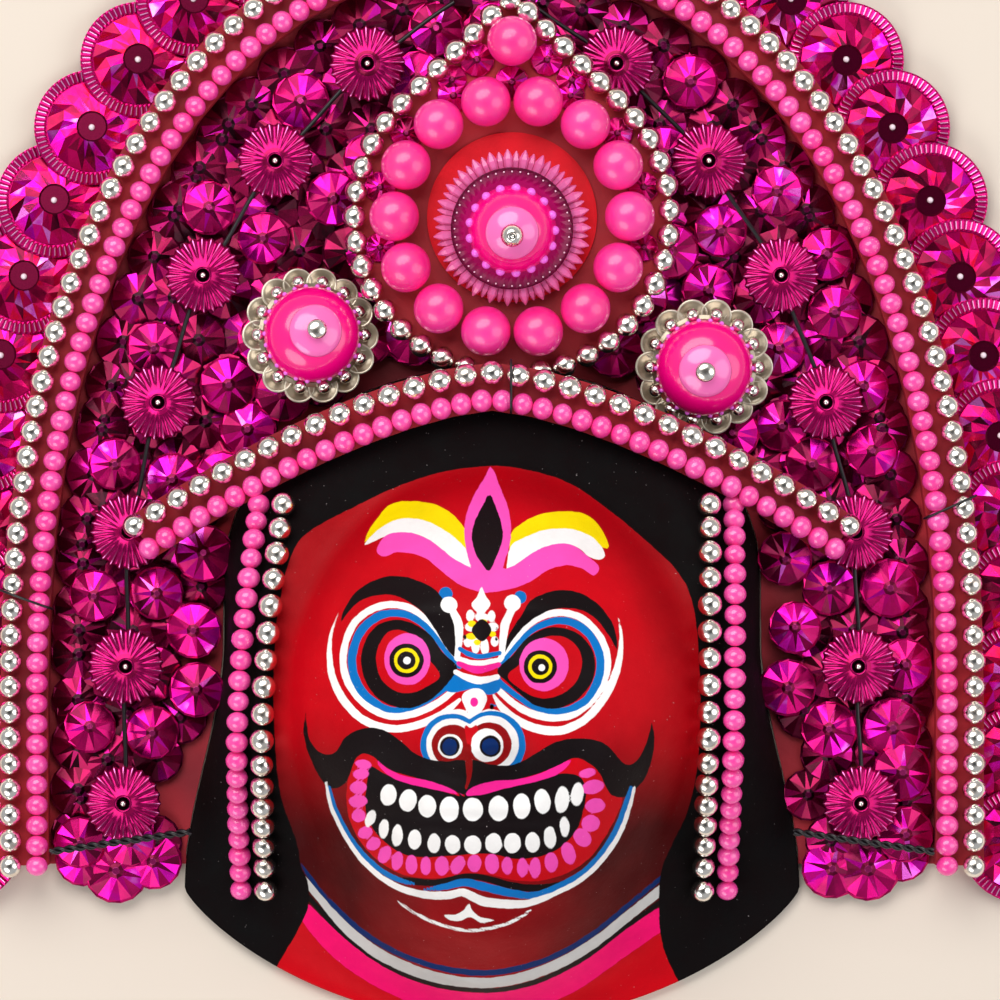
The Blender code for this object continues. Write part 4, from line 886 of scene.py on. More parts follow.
def pink_plastic():
    """Pink moulded plastic beads, glossy, with a faint milky depth."""
    made, tree = new_material(
        "pink bead plastic", roughness=0.3, specular=0.7, coat_weight=0.9, coat_roughness=0.05
    )
    dress(tree, base_color=mottled(tree, 60, 2, from_screen(255, 86, 176), from_screen(255, 58, 156)))
    add_bump(tree, noise(tree, 500, 2), 0.06, 0.3 * MM)
    return made


silver = silvered()
pink = pink_plastic()
beads = strung_beads()


def string_of_beads(node, points, kind, closed=False):
    radius, pitch, squash, finish, slot = {
        "silver": (SILVER_RADIUS, SILVER_PITCH, 1.0, silver, "silvered_bead"),
        "pink": (PINK_RADIUS, PINK_PITCH, PINK_SQUASH, pink, "pink_bead"),
    }[kind]
    values = {"Radius": radius, "Pitch": pitch, "Squash": squash, "Finish": finish, "Seed": len(points)}
    piece = run_tree(path_curve(points, closed), beads, f"{node}_strung", values)
    finish_piece(piece, slot, node)


half = STRING_SPACING / 2
silver_z, pink_z = STRIP_TOP + TOUCH + SILVER_RADIUS, STRIP_TOP + TOUCH + PINK_RADIUS
string_of_beads("band_silver_beads", at_height(arch(half, FOOT_Y, 160), silver_z), "silver")
string_of_beads("band_pink_beads", at_height(arch(-half, FOOT_Y, 160), pink_z), "pink")

BROW_APEX_Y = 14.7 * MM
BROW_DROP = 60 * MM
BROW_HALF_SPAN = 140 * MM
BROW_POWER = 1.5
BROW_CARD = 1.6 * MM
BROW_END_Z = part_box("brow_strip")[0][2]
BROW_MIDDLE_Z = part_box("brow_strip")[1][2] - BROW_CARD


def brow_line(offset, lift):
    """The brow's curve, moved up the mask by offset at right angles to it, and lifted off its card."""
    share = np.linspace(-1, 1, 61)
    steep = BROW_DROP * BROW_POWER * np.abs(share) ** (BROW_POWER - 1) / BROW_HALF_SPAN
    across = np.column_stack((np.sign(share) * steep, np.ones_like(share)))
    across /= np.hypot(across[:, 0], across[:, 1])[:, None]
    x = share * BROW_HALF_SPAN + offset * across[:, 0]
    y = BROW_APEX_Y - BROW_DROP * np.abs(share) ** BROW_POWER + offset * across[:, 1]
    return np.column_stack((x, y, BROW_MIDDLE_Z + (BROW_END_Z - BROW_MIDDLE_Z) * share**2 + lift))


lift = BROW_CARD + 2 * TOUCH
string_of_beads("brow_silver_beads", brow_line(half, lift + SILVER_RADIUS), "silver")
string_of_beads("brow_pink_beads", brow_line(-half, lift + PINK_RADIUS), "pink")

SIDE_PINK_X = 96 * MM
SIDE_SILVER_X = 86 * MM
SIDE_TOP_Y = -32.3 * MM
SIDE_CLEARANCE = 0.4 * MM
SIDE_OVERHANG = 10 * MM
SIDE_SWAY = {"left": (-3 * MM, 4.5 * MM, 5 * MM), "right": (0.5 * MM, 0, -1.5 * MM)}


def side_line(word, base_x, radius):
    """A string on the hair beside the face, leaning as far outwards as its sway says."""
    share = np.linspace(0, 1, 41)
    side = -1 if word == "left" else 1
    top, middle, foot = SIDE_SWAY[word]
    sway = top + (foot - top) * share + (middle - (top + foot) / 2) * np.sin(math.pi * share)
    x = side * (base_x + sway)
    y = SIDE_TOP_Y + (FOOT_Y - SIDE_OVERHANG - SIDE_TOP_Y) * share
    here = shell_height(x, y)
    slope_x = (shell_height(x + MM, y) - here) / MM
    slope_y = (shell_height(x, y + MM) - here) / MM
    lean = np.sqrt(1 + slope_x**2 + slope_y**2)
    return np.column_stack((x, y, here + (SIDE_CLEARANCE + radius) * lean))


for word in SIDE_SWAY:
    string_of_beads(f"side_pink_beads_{word}", side_line(word, SIDE_PINK_X, PINK_RADIUS), "pink")
    string_of_beads(f"side_silver_beads_{word}", side_line(word, SIDE_SILVER_X, SILVER_RADIUS), "silver")

CREST_X = 8 * MM
CREST_Y = 82.7 * MM
CREST_HALF_WIDTH = 63 * MM
CREST_TOP_Y = 170.7 * MM
CREST_OVERLAP = 8 * MM
CREST_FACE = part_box("crest_card")[1][2]


def teardrop():
    """A circle below and straight flanks that meet at the point above."""
    rise = CREST_TOP_Y - CREST_Y
    tangent = math.asin(CREST_HALF_WIDTH / rise)
    turn = math.pi - tangent + (math.pi + 2 * tangent) * np.linspace(0, 1, 73)
    x = CREST_X + CREST_HALF_WIDTH * np.cos(turn)
    y = CREST_Y + CREST_HALF_WIDTH * np.sin(turn)
    return np.vstack((np.column_stack((x, y)), [(CREST_X, CREST_Y + rise)]))


silver_z = CREST_FACE + TOUCH + SILVER_RADIUS
string_of_beads("crest_silver_beads", at_height(teardrop(), silver_z), "silver", closed=True)

# The fan's edge. Large stamped discs of crimson plastic stand side by side round the arch, each lapped
# over the one before it, ribbed at the rim, cut like a gem inside and held by a pearl pin.
BOARD_TOP = 3.3 * MM
DISC_RADIUS = 23.4 * MM
DISC_PITCH = 33.6 * MM
DISC_OFFSET = 25 * MM
DISC_RIBS = 64
DISC_LAP = math.radians(5.5)
GEM_SIDES = 10
PIN_RADIUS = 1.3 * MM
PIN_LIFT = 4.0 * MM


class Shape:
    """Points and faces of one shape, with a facet number on each face and a ridge on each point."""

    def __init__(self, sides):
        self.sides = sides
        self.points, self.faces, self.facets, self.ridges = [], [], [], []

    def point(self, place, ridge=0.0):
        self.points.append(tuple(map(float, place)))
        self.ridges.append(float(ridge))
        return len(self.points) - 1

    def ring(self, reach, height, ridge=0.0):
        """Points all round; each value is one for all of them, or one for each."""
        turn = 2 * math.pi * np.arange(self.sides) / self.sides
        x, y = reach * np.cos(turn), reach * np.sin(turn)
        return [self.point(each[:3], each[3]) for each in zip(*np.broadcast_arrays(x, y, height, ridge))]

    def face(self, corners, facet):
        self.faces.append(tuple(corners))
        self.facets.append(facet)

    def bridge(self, low, high, facet, halves=False):
        """Faces between two rings of the same count, from the outer or lower one to the other."""
        for k in range(len(low)):
            after = (k + 1) % len(low)
            if halves:
                self.face((low[k], low[after], high[k]), next(facet))
                self.face((low[after], high[after], high[k]), next(facet))
            else:
                self.face((low[k], low[after], high[after], high[k]), facet)

    def close(self, rings, facet=0.0):
        """A closed skin through rings, from the outer or lowest one on."""
        self.face(rings[0][::-1], facet)
        for low, high in zip(rings, rings[1:]):
            self.bridge(low, high, facet)
        self.face(rings[-1], facet)

    def made(self, name, material=None):
        mesh = bpy.data.meshes.new(name)
        mesh.from_pydata(self.points, [], self.faces)
        mesh.attributes.new("facet", "FLOAT", "FACE").data.foreach_set("value", self.facets)
        mesh.attributes.new("ridge", "FLOAT", "POINT").data.foreach_set("value", self.ridges)
        if material:
            mesh.materials.append(material)
        return in_scene(name, mesh)


RIM_FACET = 40.0
CUP_FACET = -1.0


def counter(start=0):
    """Facet numbers that jump about, so that neighbours don't shine alike."""
    number = start
    while True:
        yield float(number % 37)
        number += 5


def rim_disc():
    """A disc with a ribbed rim, a ring of long gem facets and a dark cup in the middle."""
    radius = DISC_RADIUS
    shape = Shape(2 * DISC_RIBS)
    raised = np.arange(shape.sides) % 2
    rings = [
        shape.ring(radius, 0),
        shape.ring(radius, 1.0 * MM),
        # Every other rib is raised; its ridge value gives it a painted highlight.
        shape.ring(0.965 * radius, (1.2 + 0.55 * raised) * MM, raised),
        shape.ring(0.83 * radius, (1.5 + 0.55 * raised) * MM, raised),
        shape.ring(0.79 * radius, 1.4 * MM),
    ]
    shape.close(rings, RIM_FACET)
    shape.sides = 2 * GEM_SIDES
    uneven = np.arange(shape.sides) % 2
    base = shape.ring(0.785 * radius, 0.9 * MM)
    low = shape.ring(0.78 * radius, (1.6 + 0.9 * uneven) * MM)
    middle = shape.ring((0.5 + 0.06 * uneven) * radius, (3.6 - 0.8 * uneven) * MM)
    high = shape.ring(0.27 * radius, 4.5 * MM)
    bottom = shape.ring(0.24 * radius, 3.5 * MM)
    facet = counter()
    shape.face(base[::-1], RIM_FACET)
    shape.bridge(base, low, RIM_FACET)
    shape.bridge(low, middle, facet, halves=True)
    shape.bridge(middle, high, facet, halves=True)
    shape.bridge(high, bottom, CUP_FACET)
    shape.face(bottom, CUP_FACET)
    return shape.made("rim disc")


def set_out():
    """Puts a copy of a shape on each point, turned and sized as the point says, a little unevenly."""
    kinds = {"Shape": "Object", "Finish": "Material", "Sway": "Float", "Seed": "Int"}
    tree, given = new_tree("set out", kinds)
    shape = grow(tree, "GeometryNodeObjectInfo", {"Object": given["Shape"]}).outputs["Geometry"]
    turn, size = (
        grow(tree, "GeometryNodeInputNamedAttribute", {"Name": word}, data_type=kind).outputs["Attribute"]
        for word, kind in (("turn", "FLOAT_VECTOR"), ("size", "FLOAT"))
    )
    away = math_node(tree, "MULTIPLY", given["Sway"], -1)
    least, most = (
        grow(tree, "ShaderNodeCombineXYZ", {"X": sway, "Y": sway}).outputs["Vector"]
        for sway in (away, given["Sway"])
    )
    inputs = {0: least, 1: most, "Seed": given["Seed"]}
    uneven = grow(tree, "FunctionNodeRandomValue", inputs, data_type="FLOAT_VECTOR").outputs[0]
    inputs = {
        "Points": given["Geometry"], "Instance": shape, "Scale": size,
        "Rotation": grow(tree, "ShaderNodeVectorMath", {0: turn, 1: uneven}).outputs[0],
    }
    placed = grow(tree, "GeometryNodeInstanceOnPoints", inputs).outputs["Instances"]
    return end_tree(tree, given, placed)


setting = set_out()


def set_pieces(
    name, shape, finish, places, turns=0.0, sizes=1.0, tints=0.0, sway=0.0, seed=1, smooth=False, keep=False
):
    """A piece made of copies of a shape, one at each place. The shape is used up unless it is kept."""
    mesh = bpy.data.meshes.new("places")
    mesh.from_pydata([tuple(place) for place in places], [], [])
    count = len(places)
    for word, values in (("size", sizes), ("tint", tints)):
        layer = mesh.attributes.new(word, "FLOAT", "POINT")
        layer.data.foreach_set("value", np.broadcast_to(values, count).astype(np.float32))
    layer = mesh.attributes.new("turn", "FLOAT_VECTOR", "POINT")
    layer.data.foreach_set("vector", np.broadcast_to(turns, (count, 3)).astype(np.float32).ravel())
    values = {"Shape": shape, "Finish": finish, "Sway": sway, "Seed": seed}
    piece = run_tree(in_scene("places", mesh), setting, name, values)
    if smooth:
        piece.data.shade_smooth()
    if not keep:
        bpy.data.objects.remove(shape)
    return piece


def ball(radius, segments, rings):
    mesh = bpy.data.meshes.new("ball")
    bm = bmesh.new()
    bmesh.ops.create_uvsphere(bm, u_segments=segments, v_segments=rings, radius=radius)
    bm.to_mesh(mesh)
    bm.free()
    return in_scene("ball", mesh)


def colour_ramp(tree, value, stops):
    """Colours by stops, each a place along the ramp and the red, green and blue of a screen."""
    node = grow(tree, "ShaderNodeValToRGB", {"Fac": value})
    elements = node.color_ramp.elements
    while len(elements) < len(stops):
        elements.new(0.5)
    for element, (place, *shades) in zip(elements, stops):
        element.position = place
        element.color = from_screen(*shades)
    return node.outputs["Color"]


def foiled_plastic(name, stops, rim, ridge, dark):
    """Clear coloured plastic over foil. Each facet gets its own colour, partly uneven tint and partly
    painted reflection, and raised ribs and rings get a painted highlight.
    """
    made, tree = new_material(name, metallic=0.84, roughness=0.24, coat_weight=0.06, coat_roughness=0.05)
    facet, tint, raised = (attribute(tree, word) for word in ("facet", "tint", "ridge"))
    by_facet = math_node(tree, "MULTIPLY", facet, 7.31)
    seed = math_node(tree, "ADD", by_facet, math_node(tree, "MULTIPLY", tint, 53.7))
    chance = grow(tree, "ShaderNodeTexWhiteNoise", noise_dimensions="1D")
    feed(tree, chance.inputs["W"], seed)
    drift = map_range(tree, noise(tree, 120, 2), 0.3, 0.7, -0.1, 0.1)
    colour = colour_ramp(tree, math_node(tree, "ADD", chance.outputs["Value"], drift), stops)
    on_rim = math_node(tree, "GREATER_THAN", facet, RIM_FACET - 1)
    in_cup = math_node(tree, "LESS_THAN", facet, CUP_FACET / 2)
    # The ridge colour is a painted highlight on raised ribs, rings and buttons.
    for share, shades in ((on_rim, rim), (in_cup, dark), (map_range(tree, raised, 0.7, 1.0), ridge)):
        colour = mix_colour(tree, share, colour, from_screen(*shades))
    dress(tree, base_color=colour)
    return made


# In these plastics the ridge colour is a painted highlight, and the pale end of each ramp is partly painted
# reflection.
disc_plastic = foiled_plastic(
    "crimson foiled plastic",
    (
        (0.0, 80, 0, 40), (0.22, 140, 0, 60), (0.4, 204, 0, 86), (0.58, 240, 0, 120),
        (0.72, 232, 6, 50), (0.84, 236, 0, 150), (0.93, 232, 10, 206), (1.0, 255, 130, 240),
    ),
    rim=(200, 0, 110), ridge=(255, 196, 236), dark=(112, 0, 54),
)


def arch_places(offset, foot_y, pitch):
    """Points and headings spaced by about the pitch along the arch, one of them at the crown."""
    path = arch(offset, foot_y, 240)
    run = np.concatenate(([0], np.cumsum(np.hypot(*np.diff(path, axis=0).T))))
    half = round(run[-1] / pitch / 2)
    share = run[-1] * np.arange(2 * half + 1) / (2 * half)
    x, y = np.interp(share, run, path[:, 0]), np.interp(share, run, path[:, 1])
    heading = np.arctan2(np.gradient(y), np.gradient(x))
    return x, y, heading


x, y, heading = arch_places(DISC_OFFSET, FOOT_Y + DISC_RADIUS / 3, DISC_PITCH)
chance = np.random.default_rng(7)
lift = DISC_RADIUS * math.sin(DISC_LAP)
places = np.column_stack((x, y, np.full(len(x), BOARD_TOP + lift)))
turns = np.column_stack((np.zeros(len(x)), np.full(len(x), DISC_LAP), heading))
tints = chance.random(len(x))
halo = set_pieces("rim_discs", rim_disc(), disc_plastic, places, turns, tints=tints, sway=0.02, seed=3)
finish_piece(halo, "magenta_plastic", "halo_discs")

pearl_pin = plain("pearl pin", 246, 226, 236, roughness=0.15, coat_weight=0.8)
pin_places = places + (0, 0, PIN_LIFT)
pins = set_pieces("rim_disc_pins", ball(PIN_RADIUS, 10, 8), pearl_pin, pin_places, smooth=True)
finish_piece(pins, "silvered_bead")

# The filling. Folded round spangles of magenta plastic lie two and three deep on the board, pinned at
# the middle, and their lowest row scallops the foot of the fan on both sides of the hair.
SPANGLE_RADIUS = 11.6 * MM
SPANGLE_SIDES = 16
LOWER_PITCH = 19.5 * MM
UPPER_GAP = 21 * MM
EDGING_PITCH = 18 * MM
LOWER_SPREAD = 1.5 * MM
UPPER_SPREAD = 4 * MM
STAR_ROOM = 15 * MM
FIELD_HEIGHT = 400 * MM
ROW_STEP = 0.866
LOWER_BASE = 3.9 * MM
UPPER_BASE = 8.0 * MM

PLACED_SPANGLES = (
    (-77, 130), (-114, 87), (-92, 75), (-152, -16), (-160, -69), (-135, -68), (-116, -52), (-120, -83),
    (-162, -122), (-137, -124), (-119, -107), (-120, -134), (-120, -155), (80, 138), (115, 94), (92, 78),
    (87, 54), (138, 45), (129, -16), (153, -11), (118, -54), (136, -66), (160, -66), (122, -82),
    (119, -106), (136, -123), (161, -122), (117, -136), (118, -159), (165, -140),
)
FOOT_SPANGLES = (
    (-165, -175, 0.98), (-151.5, -180, 1.14), (-136.5, -176, 1.0),
    (165, -173, 1.0), (151.5, -179, 1.14), (137, -179, 1.06),
)
STAR_PLACES = (
    (148, -152.3), (147, -97.3), (146, -43.3), (134, 8.7), (116, 59.7), (87, 105.7), (50, 144.7),
)


def spangle():
    """A low cone of uneven folds with a rounded rim and a button in the middle."""
    radius = SPANGLE_RADIUS
    shape = Shape(SPANGLE_SIDES)
    fold = np.arange(SPANGLE_SIDES) % 2
    foot = shape.ring(radius, 0)
    edge = shape.ring(radius, 0.9 * MM, 0.45)
    rim = shape.ring(0.92 * radius, (1.0 + 0.8 * fold) * MM)
    shape.sides = SPANGLE_SIDES // 2
    top = shape.ring(0.24 * radius, 3.9 * MM)
    # The button's ridge value gives it a painted highlight.
    button = shape.ring(0.11 * radius, 4.4 * MM, 0.8)
    shape.face(foot[::-1], CUP_FACET)
    shape.bridge(foot, edge, RIM_FACET)
    shape.bridge(edge, rim, RIM_FACET)
    facet = counter(3)
    for k in range(len(top)):
        left, middle, right = rim[2 * k], rim[2 * k + 1], rim[(2 * k + 2) % len(rim)]
        after = top[(k + 1) % len(top)]
        outer, inner = next(facet), next(facet)
        shape.face((left, middle, top[k]), outer)
        shape.face((middle, after, top[k]), inner)
        shape.face((middle, right, after), outer)
    shape.bridge(top, button, CUP_FACET)
    shape.face(button, RIM_FACET)
    return shape.made("spangle")


def inside_band(x, y, margin):
    wide, high = ARCH_HALF_WIDTH - STRIP_HALF_WIDTH - margin, ARCH_RISE - STRIP_HALF_WIDTH - margin
    above = np.maximum(0, y - SPRING_Y)
    return (np.abs(x) / wide) ** ARCH_POWER + (above / high) ** ARCH_POWER < 1


def outside_hair(x, y, margin):
    away_x, away_y = x, y - FACE_Y
    return np.hypot(away_x, away_y) > rim_distance(np.arctan2(away_y, away_x)) + margin


def under_crest(x, y):
    return (np.hypot(x - CREST_X, y - CREST_Y) < CREST_HALF_WIDTH - CREST_OVERLAP) | (
        (np.abs(x - CREST_X) < 0.72 * (CREST_TOP_Y - y) - 10 * MM) & (y > CREST_Y)
    )


def spaced_grid(pitch, spread, chance):
    """A staggered grid over the fan, each point moved at random by up to the spread."""
    rows = []
    for row in range(int(FIELD_HEIGHT / (pitch * ROW_STEP))):
        y = FOOT_Y + pitch / 2 + row * pitch * ROW_STEP
        x = np.arange(-10, 11) * pitch + (row % 2) * pitch / 2
        rows.append(np.column_stack((x, np.full(len(x), y))))
    grid = np.vstack(rows)
    return grid + chance.uniform(-spread, spread, grid.shape)


def wanted(grid, margin):
    x, y = grid.T
    return inside_band(x, y, margin) & outside_hair(x, y, margin) & ~under_crest(x, y)


chance = np.random.default_rng(21)
margin = SPANGLE_RADIUS * 0.8
lower = spaced_grid(LOWER_PITCH, LOWER_SPREAD, chance)
lower = lower[wanted(lower, margin)]
placed = np.array(PLACED_SPANGLES) * MM
placed = placed[outside_hair(*placed.T, SPANGLE_RADIUS * 0.6)]
kept = [tuple(place) for place in placed]
stars = [(side * x * MM, y * MM) for x, y in STAR_PLACES for side in (-1, 1)]
for place in spaced_grid(UPPER_GAP, UPPER_SPREAD, chance):
    near = min(math.dist(place, other) for other in kept)
    near_star = min(math.dist(place, star) for star in stars)
    if wanted(place[None], margin)[0] and near > UPPER_GAP * 0.92 and near_star > STAR_ROOM:
        kept.append(tuple(place))
x, y, heading = arch_places(-STRIP_HALF_WIDTH - SPANGLE_RADIUS, FOOT_Y + SPANGLE_RADIUS, EDGING_PITCH)
edging = np.column_stack((x, y))
lower = np.vstack((lower, edging[outside_hair(*edging.T, margin)]))
upper = np.array(kept)
foot = np.array(FOOT_SPANGLES)

# Here too the ridge colours are painted highlights.
spangle_plastic = foiled_plastic(
    "magenta foiled plastic",
    (
        (0.0, 104, 0, 52), (0.25, 160, 0, 84), (0.45, 200, 0, 104), (0.62, 222, 0, 126),
        (0.76, 236, 0, 150), (0.87, 220, 0, 180), (0.95, 244, 20, 200), (1.0, 255, 110, 235),
    ),
    rim=(206, 0, 108), ridge=(246, 96, 196), dark=(104, 0, 50),
)
deep_plastic = foiled_plastic(
    "wine foiled plastic",
    ((0.0, 50, 0, 26), (0.4, 110, 0, 50), (0.7, 150, 0, 72), (0.9, 180, 0, 110), (1.0, 220, 20, 170)),
    rim=(110, 0, 56), ridge=(180, 40, 130), dark=(44, 0, 24),
)


def layer_of_spangles(name, centres, base, rise, sway, seed, sizes=None, plastic=spangle_plastic):
    """One layer of spangles at a height of base and up to rise more, each turned by chance."""
    chance = np.random.default_rng(seed)
    count = len(centres)
    height = base + chance.uniform(0, rise, count)
    places = np.column_stack((centres, height))
    turns = np.zeros((count, 3))
    turns[:, 2] = chance.uniform(0, math.pi, count)
    if sizes is None:
        sizes = chance.uniform(0.9, 1.04, count)
    tints = chance.random(count)
    return set_pieces(name, spangle(), plastic, places, turns, sizes, tints, sway, seed)


under = layer_of_spangles("lower_spangles", lower, LOWER_BASE, 1.2 * MM, 0.05, 31, plastic=deep_plastic)
over = layer_of_spangles("upper_spangles", upper, UPPER_BASE, 1.6 * MM, 0.09, 32)
foot_places, foot_sizes = foot[:, :2] * MM, foot[:, 2]
scallops = layer_of_spangles("foot_spangles", foot_places, LOWER_BASE, 1.5 * MM, 0.03, 33, foot_sizes)
finish_piece(under, "magenta_plastic")
finish_piece(over, "magenta_plastic", "spangle_field")
finish_piece(scallops, "magenta_plastic")

# The stars. Fluted rosettes of wine red plastic, seven on each side, stand in a row between the band
# and the face. A black wire runs under them from pin to pin.
STAR_BASE = 18.6 * MM
STAR_TURN = 0.4
RIB_LENGTH = 0.9 * MM
STAR_RADIUS = 15.2 * MM
STAR_FLUTES = 24
STAR_RISE = 3.1 * MM
FLUTE_HEIGHT = 0.9 * MM
WIRE_RADIUS = 0.9 * MM
WIRE_Z = 17.2 * MM
WIRE_WAVE = 0.6 * MM
NECK_FACET = 6.0
SIDES = ((-1, "left"), (1, "right"))


def star():
    """Narrow ribs from a raised cup out to a scalloped rim, where their ends catch the light."""
    shape = Shape(6 * STAR_FLUTES)
    wave = 0.5 + 0.5 * np.cos(2 * math.pi * np.arange(shape.sides) / 6)
    deep = 1 - wave

    def ring(share, flute, level, ridge=0.0):
        reach = STAR_RADIUS * share - RIB_LENGTH * deep * flute
        return shape.ring(reach, level + FLUTE_HEIGHT * wave**2 * flute, ridge * wave**4)

    rings = [
        ring(1.0, 1.0, 0.0), ring(1.0, 1.0, 0.5 * MM, 1.0), ring(0.94, 1.0, 1.0 * MM, 1.0),
        ring(0.8, 0.95, 1.4 * MM, 0.94), ring(0.65, 0.7, 1.9 * MM, 0.88), ring(0.52, 0.2, 2.3 * MM, 0.8),
        ring(0.34, 0.0, STAR_RISE - 0.4 * MM), ring(0.24, 0.0, STAR_RISE + 0.4 * MM),
        ring(0.21, 0.0, STAR_RISE + 0.6 * MM, 0.9), ring(0.17, 0.0, STAR_RISE), ring(0.14, 0.0, 1.6 * MM),
    ]
    for corner in rings[0]:
        shape.points[corner] = (*shape.points[corner][:2], 0.0)
    shape.face(rings[0][::-1], CUP_FACET)
    facets = [RIM_FACET] * 6 + [NECK_FACET] + [RIM_FACET] * 2 + [CUP_FACET]
    for low, high, facet in zip(rings, rings[1:], facets):
        shape.bridge(low, high, facet)
    shape.face(rings[-1], CUP_FACET)
    return shape.made("star")


# The ridge colour paints highlights along the star's ribs and round its cup.
star_plastic = foiled_plastic(
    "wine red plastic",
    ((0.0, 110, 0, 50), (1.0, 210, 0, 110)),
    rim=(168, 0, 92), ridge=(255, 150, 220), dark=(56, 0, 30),
)
shape = star()
pin = ball(PIN_RADIUS, 12, 8)
for side, word in SIDES:
    for index, (x, y) in enumerate(STAR_PLACES):
        piece = set_pieces(
            f"fluted_star_{word}_{index + 1}", shape, star_plastic, [(side * x * MM, y * MM, STAR_BASE)],
            turns=(0, 0, STAR_TURN * index), tints=0.1 * index, smooth=True, keep=True,
        )
        finish_piece(piece, "magenta_plastic", f"star_{word}_{index + 1}")
    row = [(side * x * MM, y * MM, STAR_BASE + STAR_RISE) for x, y in STAR_PLACES]
    pins = set_pieces(f"star_pins_{word}", pin, silver, row, smooth=True, keep=True)
    finish_piece(pins, "silvered_bead")
bpy.data.objects.remove(shape)
bpy.data.objects.remove(pin)


def wire_along():
    """Sweeps a round wire along a curve."""
    tree, given = new_tree("wire", {"Radius": "Float", "Finish": "Material"})
    inputs = {"Resolution": 8, "Radius": given["Radius"]}
    circle = grow(tree, "GeometryNodeCurvePrimitiveCircle", inputs).outputs["Curve"]
    inputs = {"Curve": given["Geometry"], "Profile Curve": circle, "Fill Caps": True}
    wire = grow(tree, "GeometryNodeCurveToMesh", inputs).outputs["Mesh"]
    return end_tree(tree, given, wire, smooth=True)


wiring = wire_along()
black = plain("black wire", 26, 22, 26, roughness=0.32)


def lay_wire(name, points, radius, *nodes):
    piece = run_tree(path_curve(points), wiring, name, {"Radius": radius, "Finish": black})
    finish_piece(piece, "black_wire", *nodes)


for side, word in SIDES:
    corners = [(side * x * MM, y * MM) for x, y in STAR_PLACES]
    corners.append((side * STAR_RADIUS, CREST_TOP_Y - 1.2 * MM))
    points = []
    for start, end in zip(corners, corners[1:]):
        for share in np.arange(0, 1, 0.125):
            x, y = Vector(start).lerp(Vector(end), share)
            points.append((x + WIRE_WAVE * math.sin(2 * math.pi * share), y, WIRE_Z))
    points.append((*corners[-1], WIRE_Z))
    lay_wire(f"threaded_wire_{word}", points, WIRE_RADIUS, f"star_wire_{word}")

# The ties. Two strands of black wire twisted together hold each foot of the band to the hair, and thin
# loops of the same wire bind the strings of beads.
STRAND_RADIUS = 0.85 * MM
TWIST_PITCH = 9 * MM
STRANDS = 2


def twisted(start, end):
    """Helices about the line between two points, one for each strand."""
    start, end = Vector(start), Vector(end)
    along = (end - start).normalized()
    across = along.orthogonal().normalized()
    beside = along.cross(across)
    turns = (end - start).length / TWIST_PITCH
    runs = []
    for strand in range(STRANDS):
        run = []
        for share in np.linspace(0, 1, int(turns * 14)):
            angle = 2 * math.pi * (turns * share + strand / STRANDS)
            aside = across * math.cos(angle) + beside * math.sin(angle)
            run.append(start.lerp(end, share) + STRAND_RADIUS * 0.98 * aside)
        runs.append(run)
    return runs


def join_pieces(name, parts):
    """Several made objects as one piece, every face with the material it had."""
    bm = bmesh.new()
    finishes = []
    for part in parts:
        first = len(bm.faces)
        bm.from_mesh(part.data)
        bm.faces.ensure_lookup_table()
        given = list(part.data.materials)
        finishes += [material for material in given if material not in finishes]
        for face in bm.faces[first:]:
            face.material_index = finishes.index(given[face.material_index])
        bpy.data.objects.remove(part)
    mesh = bpy.data.meshes.new(name)
    bm.to_mesh(mesh)
    bm.free()
    for material in finishes:
        mesh.materials.append(material)
    return in_scene(name, mesh)


for side, word in SIDES:
    low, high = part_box(f"tie_wire_{word}")
    z = (low[2] + high[2]) / 2
    inner, outer = sorted((low[0], high[0]), key=abs)
    strands = [
        run_tree(path_curve(run), wiring, "strand", {"Radius": STRAND_RADIUS, "Finish": black})
        for run in twisted((outer, low[1] + 2 * STRAND_RADIUS, z), (inner, high[1] - 2 * STRAND_RADIUS, z))
    ]
    finish_piece(join_pieces(f"twisted_tie_{word}", strands), "black_wire", f"tie_wire_{word}")


def ring_round(centre, reach_across, reach_up, along):
    """A closed-looking loop of wire standing across a direction in plan."""
    across = reach_across * Vector((-along[1], along[0], 0)).normalized()
    up = reach_up * Vector((0, 0, 1))
    turn = np.linspace(0, 2 * math.pi, 29) - math.pi / 2
    return [Vector(centre) + across * math.cos(angle) + up * math.sin(angle) for angle in turn]


BINDING_RADIUS = 0.5 * MM
BROW_BINDING_X = 7.6 * MM
BAND_BINDINGS = (("right", 1, 77 * MM, math.radians(24)), ("left", -1, 40 * MM, math.radians(20)))
brow_top = BROW_MIDDLE_Z + BROW_CARD + 2 * TOUCH + 2 * SILVER_RADIUS
middle = (BROW_BINDING_X, BROW_APEX_Y, brow_top - 4.2 * MM)
lay_wire("brow_binding", ring_round(middle, 10.6 * MM, 4.6 * MM, (1, 0)), BINDING_RADIUS)
for word, side, up, angle in BAND_BINDINGS:
    x = side * ARCH_HALF_WIDTH * (1 - (up / ARCH_RISE) ** ARCH_POWER) ** (1 / ARCH_POWER)
    along = (-math.sin(angle) * side, math.cos(angle))
    ring = ring_round((x, SPRING_Y + up, STRIP_TOP + 4.4 * MM), 11.4 * MM, 5.6 * MM, along)
    lay_wire(f"band_binding_{word}", ring, BINDING_RADIUS)


